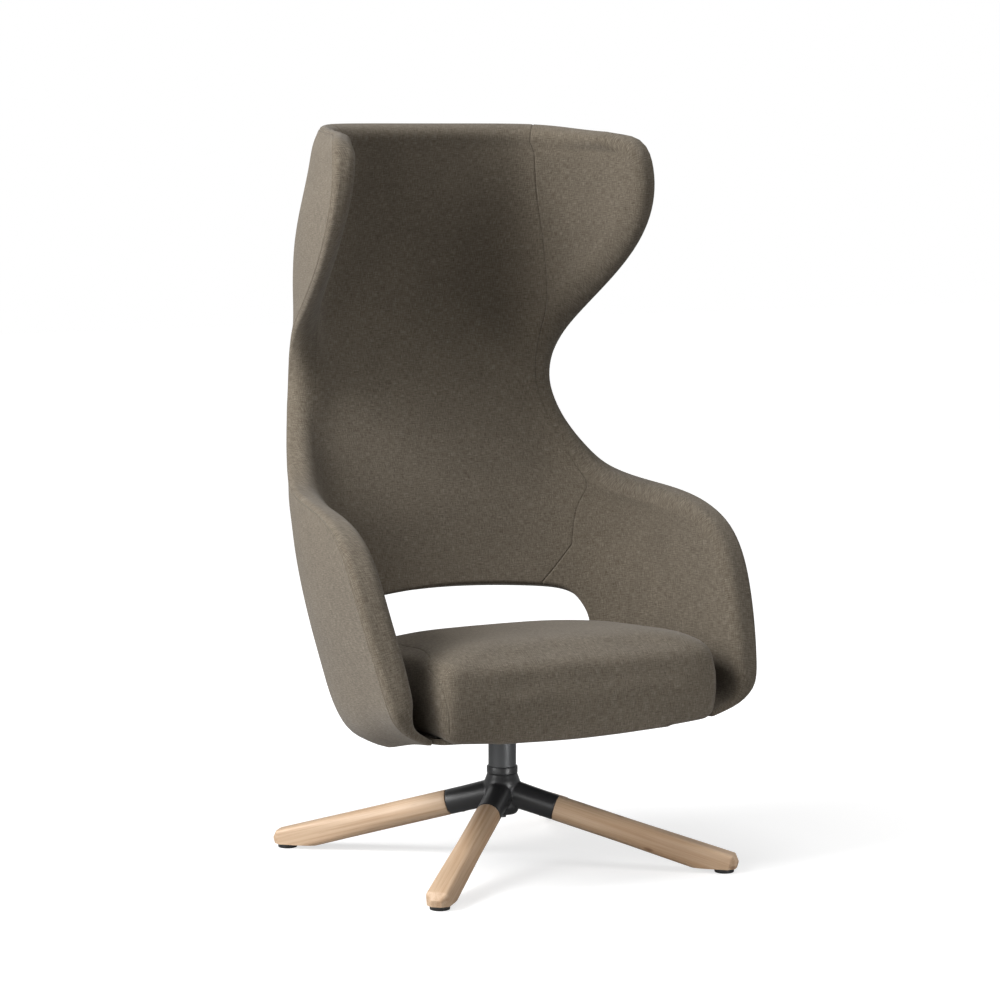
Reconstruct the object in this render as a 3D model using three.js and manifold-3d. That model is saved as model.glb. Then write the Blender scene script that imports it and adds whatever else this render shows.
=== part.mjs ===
// High-back swivel lounge chair: a winged, padded shell with a slot behind the seat,
// a loose seat cushion, a steel column and a cast hub with four wooden legs.
// Millimetres, +Z up, the chair faces -Y.

import * as THREE from 'three';
import * as BufferGeometryUtils from 'three/addons/utils/BufferGeometryUtils.js';
import Module from 'manifold-3d';

const wasm = await Module();
wasm.setup();

// Clearances and working allowances
const seatGap = 0.3; // between pieces that touch
const runningGap = 0.3; // between turning faces
const holePlay = 0.6; // a hole's width over its bolt or pin
const overrun = 4; // how far a cutter runs past the face it opens

// Overall sizes of the shell
const shellBottom = 262; // underside above the floor
const shellHeight = 1058; // nominal height, from the underside to the top edge
const shellHalfWidth = 400; // nominal, from the middle to the outside of an arm
const shellReach = 360; // from the column's axis to the rearmost point of the back
const shellThickness = 58; // padded thickness at the arms
const shellCore = 24; // moulded outer shell under the inner pads
const rimRoll = 22; // how far the padded rim stands past the panel's edge
const lowerRimReach = 112; // from the column's axis to the middle of the shell's lower rim

// Slot behind the seat, drawn on a level plane through the middle of the back's inner face
const slotSideRoom = 97; // from the slot's end to the shell's nominal side
const slotHalfWidth = shellHalfWidth - slotSideRoom;
const slotBottom = 346; // above the floor
const slotHeight = 134;
const slotPlane = 174; // from the column's axis to that plane
const slotFront = 60; // from the column's axis to the cutter's front end
const slotFlare = 0.78; // how much the slot's ends spread towards the rear
const slotFall = 0.2; // how much the slot falls towards the rear

// Steel frame in the shell
const frameRod = 12; // diameter
const frameGroove = 14; // width of the groove that holds it
const frameSink = 3; // extra depth of the groove under the inner face

// Seat pan, a board that lies between the arms and laps over the shell's lower rim
const panLap = 22; // how far the board lies over the rim
const panFront = 262; // from the column's axis to the front edge
const panThickness = 18;
const panLift = 5; // from the shell's underside to the pan's underside
const panPlay = 2.5; // between the board's plug and the rolled rim
const panCornerRadius = 24;
const rimScrewDiameter = 5;
const rimScrewHeadDiameter = 10;
const rimScrewHead = 3;
const rimScrewSink = 1.5; // depth of the head under the rim's skin
const rimScrewLength = 12;

// Seat cushion
const cushionSideRoom = 116; // from the cushion's side to the shell's nominal side
const cushionWidth = 2 * (shellHalfWidth - cushionSideRoom);
const cushionFront = 298; // from the column's axis to the front
const cushionRear = lowerRimReach; // from the column's axis to the rear of the underside
const cushionHeight = 110; // to the edge of the top
const cushionCrown = 32; // extra height at the middle
const cushionDrawIn = 5; // how far the sides draw in towards the top and the underside
const crownFullness = 4; // how level the top is in its middle, 2 is round
const cushionTopRadius = 34;
const cushionBottomRadius = 20;
const cushionFrontRadius = 30; // corners seen from above
const cushionRearRadius = 155;
const cushionBow = 6; // how far the sides bow out seen from above
const cushionDrop = 4; // the top is this much lower at the rear
const cushionLean = 26; // the top reaches this much further back than the underside

// Column and swivel
const columnDiameter = 50;
const columnWall = 3;
const columnFoot = 10; // plug welded into the column's foot
const spindleDiameter = 28;
const spindleHead = 9; // thickness of the spindle's head on the bearing
const spindleHeadDiameter = 62;
const spindleTail = 13; // length of the spindle below the lower bush
const spindleBoltDiameter = 8;
const spindleBoltHeadDiameter = 16;
const spindleBoltHead = 5;
const spindleBoltLength = 28;
const bushHeight = 24;
const bushFlange = 2.5;
const bushFlangeDiameter = 49;
const bushSpacing = 82; // from the upper bush's flange to the top of the lower bush
const bearingDiameter = 50;
const bearingThickness = 4;
const clipDiameter = 37;
const clipThickness = 1.6;
const clipGrooveDepth = 1.8;
const clipOpening = 8; // gap between the clip's ends

// Seat plate under the pan
const plateRimRoom = 17; // from the plate's edge to the shell's lower rim
const plateSize = 2 * (lowerRimReach - plateRimRoom);
const plateThickness = 5;
const plateCornerRadius = 18;
const plateBoltInset = 20; // from a bolt's centre to the plate's edges
const platePitch = plateSize - 2 * plateBoltInset; // between bolt centres
const boltDiameter = 8;
const boltHeadDiameter = 15;
const boltHead = 5;
const boltLength = 18;
const boltSocket = 5; // across the corners of the hexagon socket
const boltSocketDepth = 3;

// Hub casting
const collarDiameter = 55.6;
const collarTop = 172;
const collarHeight = 12;
const collarChamfer = 1;
const neckDiameter = 52;
const shoulderDiameter = 60;
const bodyDiameter = 64;
const bodyTop = 146;
const bodyShoulder = 6; // height of the slope above the body
const bodyBottom = 98;
const bossDiameter = 55;
const bossBottom = 85;
const bossChamfer = 3;
const hubFloor = 10; // metal under the column's foot
const hubScrewDiameter = 8;
const hubScrewHeadDiameter = 14;
const hubScrewHead = 5;
const hubScrewLength = 20;
const washerDiameter = 20;
const washerThickness = 1.6;

// Legs
const legDiameter = 46;
const legSlope = 15.5; // degrees below level
const legRootHeight = 127.7; // the leg's axis where it meets the column's axis
const sleeveReach = 100; // from the column's axis to the sleeve's mouth
const sleeveWall = 5;
const sleeveFlare = 5; // extra radius at the sleeve's root
const sleeveRoot = 24; // from the column's axis to the widest part of the flare
const tenonLength = 52;
const legReach = 430; // from the column's axis to the leg's tip
const legEndWidth = 41;
const legEndHeight = 45;
const legTipChamfer = 11;
const glideInset = 22; // from the glide's centre to the leg's tip
const glideReach = legReach - glideInset; // from the column's axis to the glide's centre

// Leg screws, up through the sleeve's underside into the tenon
const legScrewDiameter = 6;
const legScrewHeadDiameter = 12;
const legScrewHead = 4;
const legScrewLength = 26;
const legScrewReach = 80; // from the column's axis
const legScrewSink = 1.5; // flat spot for the head

// Glides
const glideDiameter = 35;
const glideHeight = 7.5;
const glideChamfer = 1.8;
const stemDiameter = 8;
const stemLength = 16;

// Facets
const roundSides = 22;
const smallSides = 12;
const hexSides = 6;
const rodSides = 8;
const legSides = 20;
const columnsPerSide = 9;
const rowsOfShell = 26;
const noseSteps = 5;
const grooveSteps = 4;
const cornerSteps = 5;
const sideSteps = 4;
const panSteps = 28;
const crownSteps = 4;
const frameSideSteps = 20;
const frameTurnSteps = 3;
const frameCrossSteps = 8;

const degree = Math.PI / 180;

// The shell's level rows, top to bottom. Each row is one line across the outer face, from the
// middle of the back to the rim: [height, depth of the middle, half width at the rim, depth of
// the rim, height of the rim, flare in degrees, thickness]. Heights are shares of shellHeight,
// widths of shellHalfWidth, depths of shellReach and thicknesses of shellThickness.
const rowShares = [
  [0.988, 0.832, 0.733, 0.285, 0.977, 13, 0.69],
  [0.961, 0.868, 0.793, 0.13, 0.958, 12.3, 0.74],
  [0.93, 0.896, 0.81, 0.086, 0.929, 11.4, 0.75],
  [0.839, 0.961, 0.819, 0.133, 0.839, 8.6, 0.75],
  [0.745, 0.994, 0.779, 0.389, 0.745, 9, 0.76],
  [0.698, 1, 0.745, 0.575, 0.698, 14, 0.78],
  [0.65, 0.994, 0.705, 0.75, 0.65, 30, 0.8],
  [0.556, 0.958, 0.643, 0.877, 0.556, 71, 0.83],
  [0.461, 0.886, 0.71, 0.783, 0.459, 45, 0.9],
  [0.414, 0.842, 0.78, 0.639, 0.408, 30, 0.95],
  [0.371, 0.803, 0.84, 0.478, 0.378, 19, 1],
  [0.296, 0.731, 0.943, -0.03, 0.352, 7, 1],
  [0.22, 0.667, 0.988, -0.375, 0.303, 5.2, 1],
  [0.145, 0.594, 0.981, -0.547, 0.209, 5, 1],
  [0.069, 0.532, 0.94, -0.67, 0.1, 4.8, 0.93],
  [0.033, 0.49, 0.912, -0.7, 0.06, 4.5, 0.78],
  [0.01, 0.427, 0.845, -0.71, 0.027, 3, 0.42],
  [0, lowerRimReach / shellReach, 0.725, -0.694, 0.004, 0, 0.2],
];
// The slot's outline from the middle of its top round to the middle of its foot: [width, height]
const slotShares = [
  [0, 1], [0.24, 0.98], [0.45, 0.94], [0.667, 0.88], [0.782, 0.813], [0.858, 0.724],
  [0.917, 0.597], [0.967, 0.463], [1, 0.313], [1, 0.15], [0.96, 0.045], [0.87, 0], [0, 0],
];
const handleShare = 0.9; // how far a row's handles reach towards its corner
const riseShare = 0.6; // where along its rise a row's second handle lies
const noseShare = 3; // fullness of the rim's section, 2 is round
const seamColumnShare = 5 / columnsPerSide; // where the back pad meets the wings and the arms
const wingFootShare = 10 / rowsOfShell; // lower end of the wing pads, along the rows
const armHeadShare = 14 / rowsOfShell; // upper end of the arm pads, along the rows
const frameColumnShare = 0.88; // where the frame runs, from the middle to the rim
const frameCrossShare = 0.08; // where it crosses the back under the top edge
const frameFootShare = 0.93; // where it ends above the lower rim
const frameTurnColumnShare = 0.12; // reach of its bend, sideways
const frameTurnRowShare = 0.045; // reach of its bend, downwards
const screwRowShare = 0.987; // the rim screws' place above the lower rim
const screwColumnShares = [0.36, 0.78]; // the rear and the side screws, from middle to rim
const lapEndShare = 0.9; // the pan's lap runs out from here to the arms' front ends
const flareShares = [0.45, 0.2]; // what is left of the sleeve's flare at a quarter and halfway
const legMorphShare = 0.25; // the leg stays round up to here
const legSquareness = 5; // fullness of the leg's section at its tip, 2 is round

// Mesh and solid helpers

function geometryOf(positions, triangles) {
  const geometry = new THREE.BufferGeometry();
  geometry.setAttribute('position', new THREE.Float32BufferAttribute(positions, 3));
  geometry.setIndex(triangles);
  return geometry;
}

// Joins vertices that coincide and drops the triangles that this leaves without an area
function merged(geometry) {
  const bare = geometry.clone();
  bare.deleteAttribute('normal');
  bare.deleteAttribute('uv');
  const whole = BufferGeometryUtils.mergeVertices(bare);
  const kept = [];
  const index = whole.index.array;
  for (let k = 0; k < index.length; k += 3) {
    const [a, b, c] = index.slice(k, k + 3);
    if (a !== b && b !== c && c !== a) kept.push(a, b, c);
  }
  whole.setIndex(kept);
  return whole;
}

function toSolid(geometry) {
  const clean = merged(geometry);
  const vertProperties = new Float32Array(clean.attributes.position.array);
  const triVerts = new Uint32Array(clean.index.array);
  return new wasm.Manifold(new wasm.Mesh({ numProp: 3, vertProperties, triVerts }));
}

function toGeometry(solid) {
  const mesh = solid.getMesh();
  return geometryOf(Array.from(mesh.vertProperties), Array.from(mesh.triVerts));
}

function cut(geometry, ...cutters) {
  let solid = toSolid(geometry);
  for (const cutter of cutters) solid = solid.subtract(toSolid(cutter));
  return toGeometry(solid);
}

function join(geometry, ...others) {
  let solid = toSolid(geometry);
  for (const other of others) solid = solid.add(toSolid(other));
  return toGeometry(solid);
}

// A solid of revolution about +Z from [radius, height] points that run up its outside
function turned(points, sides = roundSides) {
  const profile = points.map(([radius, height]) => new THREE.Vector2(radius, height));
  return new THREE.LatheGeometry(profile, sides).rotateX(Math.PI / 2);
}

function rod(diameter, bottom, top, sides = roundSides) {
  const radius = diameter / 2;
  return turned([[0, bottom], [radius, bottom], [radius, top], [0, top]], sides);
}

function ring(outer, inner, bottom, top, sides = roundSides) {
  const low = [[inner / 2, bottom], [outer / 2, bottom]];
  const high = [[outer / 2, top], [inner / 2, top]];
  return turned([...low, ...high, [inner / 2, bottom]], sides);
}

// Joins rings of points into a closed skin with a fan at each end
function loft(rings) {
  const sides = rings[0].length;
  const positions = [];
  const triangles = [];
  for (const loop of rings) for (const point of loop) positions.push(point.x, point.y, point.z);
  for (let step = 0; step + 1 < rings.length; step += 1) {
    for (let side = 0; side < sides; side += 1) {
      const a = step * sides + side;
      const b = step * sides + (side + 1) % sides;
      triangles.push(a, b, b + sides, a, b + sides, a + sides);
    }
  }
  const last = (rings.length - 1) * sides;
  for (let side = 1; side + 1 < sides; side += 1) {
    triangles.push(0, side + 1, side, last, last + side, last + side + 1);
  }
  return geometryOf(positions, triangles);
}

function roundedRectangle(width, low, high, radius) {
  const half = width / 2;
  const shape = new THREE.Shape();
  shape.moveTo(-half + radius, low);
  shape.lineTo(half - radius, low);
  shape.absarc(half - radius, low + radius, radius, -Math.PI / 2, 0, false);
  shape.lineTo(half, high - radius);
  shape.absarc(half - radius, high - radius, radius, 0, Math.PI / 2, false);
  shape.lineTo(-half + radius, high);
  shape.absarc(-half + radius, high - radius, radius, Math.PI / 2, Math.PI, false);
  shape.lineTo(-half, low + radius);
  shape.absarc(-half + radius, low + radius, radius, Math.PI, Math.PI * 1.5, false);
  return shape;
}

function board(shape, bottom, thickness, curveSegments = cornerSteps) {
  const geometry = new THREE.ExtrudeGeometry(shape, {
    depth: thickness, bevelEnabled: false, curveSegments,
  });
  return geometry.translate(0, 0, bottom);
}

// Natural cubic spline through rows of values at given stations
function splineThrough(stations, rows) {
  const last = rows.length - 1;
  const bends = rows.map((row) => row.map(() => 0));
  rows[0].forEach((_, column) => {
    const upper = [0];
    const rest = [0];
    for (let k = 1; k < last; k += 1) {
      const before = stations[k] - stations[k - 1];
      const after = stations[k + 1] - stations[k];
      const rise = (rows[k + 1][column] - rows[k][column]) / after;
      const fall = (rows[k][column] - rows[k - 1][column]) / before;
      const pivot = 2 * (before + after) - before * upper[k - 1];
      upper.push(after / pivot);
      rest.push((6 * (rise - fall) - before * rest[k - 1]) / pivot);
    }
    for (let k = last - 1; k > 0; k -= 1) {
      bends[k][column] = rest[k] - upper[k] * bends[k + 1][column];
    }
  });
  return (place) => {
    let k = 0;
    while (k < last - 1 && place > stations[k + 1]) k += 1;
    const span = stations[k + 1] - stations[k];
    const far = (place - stations[k]) / span;
    const near = 1 - far;
    return rows[k].map((value, column) => {
      const pull = (near ** 3 - near) * bends[k][column] + (far ** 3 - far) * bends[k + 1][column];
      return near * value + far * rows[k + 1][column] + pull * span * span / 6;
    });
  };
}

// The shell's outer face

const rowSizes = rowShares.map(([height, depth, rimWidth, rimDepth, rimHeight, flare, thick]) => [
  shellBottom + height * shellHeight,
  depth * shellReach,
  rimWidth * shellHalfWidth,
  rimDepth * shellReach,
  shellBottom + rimHeight * shellHeight,
  flare * degree,
  thick * shellThickness,
]);
const rowStations = [0];
for (let k = 1; k < rowSizes.length; k += 1) {
  const [height, depth, rimWidth, rimDepth, rimHeight] = rowSizes[k];
  const above = rowSizes[k - 1];
  const middleStep = Math.hypot(height - above[0], depth - above[1]);
  const rimStep = Math.hypot(rimWidth - above[2], rimDepth - above[3], rimHeight - above[4]);
  rowStations.push(rowStations[k - 1] + (middleStep + rimStep) / 2);
}
const rowSpline = splineThrough(rowStations, rowSizes);
const rowEnd = rowStations[rowStations.length - 1];

// One row across a face as a cubic curve; the middle is level across the back
function rowCurve([height, depth, rimWidth, rimDepth, rimHeight, flare]) {
  const corner = rimWidth - (depth - rimDepth) * Math.tan(flare);
  const leg = handleShare * (depth - rimDepth) / Math.cos(flare);
  const handleHeight = height + (rimHeight - height) * riseShare;
  const handleWidth = rimWidth - leg * Math.sin(flare);
  const handleDepth = rimDepth + leg * Math.cos(flare);
  return new THREE.CubicBezierCurve3(
    new THREE.Vector3(0, depth, height),
    new THREE.Vector3(handleShare * corner, depth, height),
    new THREE.Vector3(handleWidth, handleDepth, handleHeight),
    new THREE.Vector3(rimWidth, rimDepth, rimHeight),
  );
}

// The inner face is drawn like the outer one, from the same rows moved in by their thickness

const probeShare = 0.004;
const endShare = 0.02; // normals near the rows' ends are taken this far inside them
const rimProbeShare = 0.88; // where the rim's normal is taken

function mirrored(across, point) {
  if (across < 0) point.x = -point.x;
  return point;
}

function outerPoint(across, along) {
  return mirrored(across, rowCurve(rowSpline(along * rowEnd)).getPoint(Math.abs(across)));
}

function outerNormal(across, along) {
  const down = THREE.MathUtils.clamp(along, endShare, 1 - probeShare);
  const sideways = outerPoint(across + probeShare, down).sub(outerPoint(across - probeShare, down));
  const downwards = outerPoint(across, down + probeShare);
  downwards.sub(outerPoint(across, down - probeShare));
  return sideways.cross(downwards).normalize();
}

function innerRow(along) {
  const row = rowSpline(along * rowEnd);
  const [height, depth, rimWidth, rimDepth, rimHeight, flare, thickness] = row;
  const middle = new THREE.Vector3(0, depth, height);
  middle.addScaledVector(outerNormal(0, along), -thickness);
  const rim = new THREE.Vector3(rimWidth, rimDepth, rimHeight);
  rim.addScaledVector(outerNormal(rimProbeShare, along), -thickness);
  return [middle.z, middle.y, rim.x, rim.y, rim.z, flare];
}

// Any point of the shell: across runs from -1 at one rim to 1 at the other, along from 0 at the
// top to 1 at the lower rim, and inwards from 0 on the outer face to 1 on the inner face
function shellPoint(across, along, inwards) {
  const outer = outerPoint(across, along);
  const inner = mirrored(across, rowCurve(innerRow(along)).getPoint(Math.abs(across)));
  return outer.lerp(inner, inwards);
}

const gridAcross = 2 * columnsPerSide;

function gridCorner(i, j) {
  const across = (i - columnsPerSide) / columnsPerSide;
  const along = j / rowsOfShell;
  const outer = shellPoint(across, along, 0);
  const inward = shellPoint(across, along, 1).sub(outer);
  return { outer, inward: inward.clone().normalize(), thickness: inward.length() };
}

const faceGrid = [];
for (let j = 0; j <= rowsOfShell; j += 1) {
  const row = [];
  for (let i = 0; i <= gridAcross; i += 1) row.push(gridCorner(i, j));
  faceGrid.push(row);
}

// The edges round a set of grid cells, each walked with the cells on its left
function edgesRound(used) {
  const edges = [];
  for (let j = 0; j < rowsOfShell; j += 1) {
    for (let i = 0; i < gridAcross; i += 1) {
      if (!used(i, j)) continue;
      if (!used(i, j - 1)) edges.push([i + 1, j, i, j]);
      if (!used(i - 1, j)) edges.push([i, j, i, j + 1]);
      if (!used(i, j + 1)) edges.push([i, j + 1, i + 1, j + 1]);
      if (!used(i + 1, j)) edges.push([i + 1, j + 1, i + 1, j]);
    }
  }
  return edges;
}

const cornerKey = (i, j) => j * (gridAcross + 1) + i;

// The direction out of the set of cells at each corner on its edge
function waysOut(edges) {
  const ways = new Map();
  for (const [i0, j0, i1, j1] of edges) {
    const along = faceGrid[j1][i1].outer.clone().sub(faceGrid[j0][i0].outer).normalize();
    for (const [i, j] of [[i0, j0], [i1, j1]]) {
      const out = along.clone().cross(faceGrid[j][i].inward).normalize();
      const key = cornerKey(i, j);
      if (!ways.has(key)) ways.set(key, []);
      ways.get(key).push(out);
    }
  }
  for (const [key, list] of ways) {
    const sum = list.reduce((total, way) => total.add(way), new THREE.Vector3()).normalize();
    ways.set(key, sum.divideScalar(Math.max(sum.dot(list[list.length - 1]), Math.SQRT1_2)));
  }
  return ways;
}

// A layer of the shell over the grid cells that belongs(i, j) picks. depths(thickness) tells how
// deep its two faces lie under the shell's outer face. Its edge is drawn in by inset and walked
// through edgeSteps(thickness), a list of [outward, depth].
function shellLayer(belongs, depths, inset = 0, edgeSteps = () => []) {
  const inGrid = (i, j) => i >= 0 && j >= 0 && i < gridAcross && j < rowsOfShell;
  const used = (i, j) => inGrid(i, j) && belongs(i, j);
  const edges = edgesRound(used);
  const ways = waysOut(edges);
  const positions = [];
  const triangles = [];
  const corners = new Map();
  const makeCorner = (i, j) => {
    const { outer, inward, thickness } = faceGrid[j][i];
    const out = ways.get(cornerKey(i, j));
    const place = (offset, depth) => {
      const point = outer.clone().addScaledVector(inward, depth);
      if (out) point.addScaledVector(out, offset - inset);
      positions.push(point.x, point.y, point.z);
      return positions.length / 3 - 1;
    };
    const [top, bottom] = depths(thickness);
    const steps = out ? edgeSteps(thickness) : [];
    return [[0, top], ...steps, [0, bottom]].map(([offset, depth]) => place(offset, depth));
  };
  const cornerAt = (i, j) => {
    const key = cornerKey(i, j);
    if (!corners.has(key)) corners.set(key, makeCorner(i, j));
    return corners.get(key);
  };
  const quad = (a, b, c, d) => triangles.push(a, b, c, a, c, d);
  for (let j = 0; j < rowsOfShell; j += 1) {
    for (let i = 0; i < gridAcross; i += 1) {
      if (!used(i, j)) continue;
      const loop = [cornerAt(i, j), cornerAt(i + 1, j), cornerAt(i + 1, j + 1), cornerAt(i, j + 1)];
      if (i < columnsPerSide) loop.push(loop.shift());
      const [a, b, c, d] = loop;
      quad(a[0], b[0], c[0], d[0]);
      quad(...[a, d, c, b].map((corner) => corner[corner.length - 1]));
    }
  }
  for (const [i0, j0, i1, j1] of edges) {
    const start = cornerAt(i0, j0);
    const end = cornerAt(i1, j1);
    for (let k = 0; k + 1 < start.length; k += 1) {
      const loop = [start[k], end[k], end[k + 1], start[k + 1]];
      const backwards = start.length > 2 && k + 2 === start.length;
      if ((cornerKey(i0, j0) > cornerKey(i1, j1)) !== backwards) loop.push(loop.shift());
      quad(...loop);
    }
  }
  return geometryOf(positions, triangles);
}

function coreDepth(thickness) {
  return Math.min(shellCore, thickness / 2);
}

function rollAt(thickness) {
  return Math.min(rimRoll, thickness / 2);
}

// The rolled rim, from the outer face round to the inner face
function rimSteps(thickness) {
  const steps = [];
  for (let k = 1; k < noseSteps; k += 1) {
    const turn = Math.PI * k / noseSteps;
    const side = Math.cos(turn);
    const offset = rollAt(thickness) * Math.sin(turn) ** (2 / noseShare);
    const depth = thickness / 2 * (1 - Math.sign(side) * Math.abs(side) ** (2 / noseShare));
    steps.push([offset, depth]);
  }
  return [...steps, [0, thickness]];
}

// The slot's outline at a distance behind the column's axis
function slotRing(depth) {
  const back = depth - slotPlane;
  const spread = 1 + slotFlare * back / slotHalfWidth;
  const half = slotShares.map(([width, height]) => [width * slotHalfWidth * spread, height]);
  const whole = [...half, ...half.slice(1, -1).reverse().map(([x, height]) => [-x, height])];
  return whole.map(([x, height]) => (
    new THREE.Vector3(x, depth, slotBottom + height * slotHeight - slotFall * back)
  ));
}

function slotCutter() {
  return loft([slotRing(slotFront), slotRing(shellReach)]);
}

// The frame's way over the grid: up one side, round a bend, across the back and down again
function framePath() {
  const path = [];
  const turnFoot = frameCrossShare + frameTurnRowShare;
  for (let k = 0; k <= frameSideSteps; k += 1) {
    const along = THREE.MathUtils.lerp(frameFootShare, turnFoot, k / frameSideSteps);
    path.push([frameColumnShare, along]);
  }
  for (let k = 1; k <= frameTurnSteps; k += 1) {
    const turn = Math.PI / 2 * k / frameTurnSteps;
    const column = frameColumnShare - frameTurnColumnShare * (1 - Math.cos(turn));
    path.push([column, turnFoot - frameTurnRowShare * Math.sin(turn)]);
  }
  const otherSide = path.map(([column, along]) => [-column, along]).reverse();
  const reach = frameColumnShare - frameTurnColumnShare;
  for (let k = 1; k < frameCrossSteps; k += 1) {
    path.push([reach * (1 - 2 * k / frameCrossSteps), frameCrossShare]);
  }
  return [...path, ...otherSide];
}

function frameStations() {
  return framePath().map(([column, along]) => {
    const outer = shellPoint(column, along, 0);
    const inward = shellPoint(column, along, 1).sub(outer);
    const depth = coreDepth(inward.length()) - frameGroove / 2 - frameSink;
    inward.normalize();
    return { point: outer.addScaledVector(inward, depth), inward };
  });
}

// Sweeps a section of [sideways, inwards] points along the frame
function sweepAlong(stations, section) {
  const rings = stations.map(({ point, inward }, k) => {
    const before = stations[Math.max(k - 1, 0)].point;
    const after = stations[Math.min(k + 1, stations.length - 1)].point;
    const along = after.clone().sub(before).normalize();
    const deep = inward.clone().addScaledVector(along, -inward.dot(along)).normalize();
    const aside = deep.clone().cross(along).normalize();
    return section.map(([sideways, inwards]) => point.clone()
      .addScaledVector(aside, sideways).addScaledVector(deep, inwards));
  });
  return loft(rings);
}

function circlePoints(radius, sides) {
  const points = [];
  for (let k = 0; k < sides; k += 1) {
    const turn = 2 * Math.PI * (k + 1 / 2) / sides;
    points.push([radius * Math.cos(turn), radius * Math.sin(turn)]);
  }
  return points;
}

// A round-bottomed groove that opens towards the inner face
function groovePoints() {
  const radius = frameGroove / 2;
  const top = radius + frameSink + overrun;
  const points = [[radius, top], [-radius, top]];
  for (let k = 0; k <= grooveSteps; k += 1) {
    const turn = Math.PI + Math.PI * k / grooveSteps;
    points.push([radius * Math.cos(turn), radius * Math.sin(turn)]);
  }
  return points;
}

function shellFrame() {
  return sweepAlong(frameStations(), circlePoints(frameRod / 2, rodSides));
}

// Rim screws, up through the shell's lower rim into the pan

const panUnderside = shellBottom + panLift;
const panTop = panUnderside + panThickness;

function screwPlace(side, columnShare) {
  const point = shellPoint(side * columnShare, screwRowShare, 0);
  const seat = point.z + rimScrewHead + rimScrewSink;
  return { x: point.x, y: point.y, seat };
}

const rimScrewPlaces = [-1, 1].flatMap((side) => (
  screwColumnShares.map((share) => screwPlace(side, share))
));

function rimScrew({ x, y, seat }) {
  const head = seat - seatGap - rimScrewHead;
  const shank = turned([
    [0, head], [rimScrewHeadDiameter / 2, head], [rimScrewHeadDiameter / 2, seat - seatGap],
    [rimScrewDiameter / 2, seat - seatGap], [rimScrewDiameter / 2, seat + rimScrewLength],
    [0, seat + rimScrewLength],
  ], smallSides);
  return shank.translate(x, y, 0);
}

function rimScrewHole({ x, y, seat }) {
  const bore = (rimScrewDiameter + holePlay) / 2;
  const sink = rimScrewHeadDiameter / 2 + holePlay;
  const low = seat - rimScrewHead - rimScrewSink - overrun;
  const high = seat + rimScrewLength + holePlay;
  const points = [[0, low], [sink, low], [sink, seat], [bore, seat], [bore, high], [0, high]];
  return turned(points, smallSides).translate(x, y, 0);
}

function outerShell() {
  const panel = shellLayer(() => true, (thickness) => [0, coreDepth(thickness)], 0, rimSteps);
  const groove = sweepAlong(frameStations(), groovePoints());
  return cut(panel, slotCutter(), groove, ...rimScrewPlaces.map(rimScrewHole));
}

// Inner pads, each over its own cells of the grid

const seamColumn = Math.round(seamColumnShare * columnsPerSide);
const wingFoot = Math.round(wingFootShare * rowsOfShell);
const armHead = Math.round(armHeadShare * rowsOfShell);

function onSide(i, side) {
  return side * (i + 1 / 2 - columnsPerSide) > seamColumn;
}

function isWing(side) {
  return (i, j) => onSide(i, side) && j < wingFoot;
}

function isArm(side) {
  return (i, j) => onSide(i, side) && j >= armHead;
}

function isBack(i, j) {
  return ![-1, 1].some((side) => isWing(side)(i, j) || isArm(side)(i, j));
}

function pad(belongs) {
  const depths = (thickness) => [coreDepth(thickness) + seatGap, thickness];
  return cut(shellLayer(belongs, depths, seatGap), ...rimScrewPlaces.map(rimScrewHole));
}

function backPad() {
  return cut(pad(isBack), slotCutter());
}

// Seat pan

// The lower rim seen from above, pushed out by the lap; the lap runs out at the arms' ends
function panShape() {
  const rim = [];
  for (let k = 0; k <= panSteps; k += 1) {
    const across = 1 - 2 * k / panSteps;
    const step = across > 0 ? -probeShare : probeShare;
    const point = shellPoint(across, 1, 0);
    const ahead = shellPoint(across + step, 1, 0).sub(point).multiplyScalar(Math.sign(step));
    const out = new THREE.Vector2(-ahead.y, ahead.x).normalize();
    const ending = Math.max(Math.abs(across) - lapEndShare, 0) / (1 - lapEndShare);
    const plug = -rollAt(rowShares[rowShares.length - 1][6] * shellThickness) - panPlay;
    const margin = THREE.MathUtils.lerp(panLap, plug, ending);
    rim.push(new THREE.Vector2(point.x + out.x * margin, point.y + out.y * margin));
  }
  const [side] = rim;
  const shape = new THREE.Shape();
  shape.moveTo(side.x, side.y);
  for (const point of rim.slice(1)) shape.lineTo(point.x, point.y);
  shape.lineTo(-side.x, panCornerRadius - panFront);
  shape.quadraticCurveTo(-side.x, -panFront, panCornerRadius - side.x, -panFront);
  shape.lineTo(side.x - panCornerRadius, -panFront);
  shape.quadraticCurveTo(side.x, -panFront, side.x, panCornerRadius - panFront);
  return shape;
}

// The space that the shell takes, with its clearances
function shellSpace() {
  const depths = (thickness) => [-panLap, thickness + seatGap];
  const edge = (thickness) => {
    const reach = rollAt(thickness) + panPlay;
    return [[reach, -panLap], [reach, thickness + seatGap]];
  };
  return shellLayer(() => true, depths, 0, edge);
}

const corners = [
  ['front_left', -1, -1],
  ['front_right', 1, -1],
  ['rear_left', -1, 1],
  ['rear_right', 1, 1],
];

const plateTop = panUnderside - seatGap;
const plateBottom = plateTop - plateThickness;
const boltEnd = plateBottom - seatGap + boltLength;

function seatPan() {
  const holes = corners.map(([, sideX, sideY]) => (
    rod(boltDiameter + holePlay, panUnderside - overrun, boltEnd + holePlay, smallSides)
      .translate(sideX * platePitch / 2, sideY * platePitch / 2, 0)
  ));
  const pocketTop = plateTop + spindleBoltHead + holePlay;
  const pocket = rod(spindleBoltHeadDiameter + holePlay, panUnderside - overrun, pocketTop);
  const space = cut(board(panShape(), panUnderside, panThickness), shellSpace());
  return cut(space, pocket, ...holes, ...rimScrewPlaces.map(rimScrewHole));
}

// Seat cushion

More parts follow.
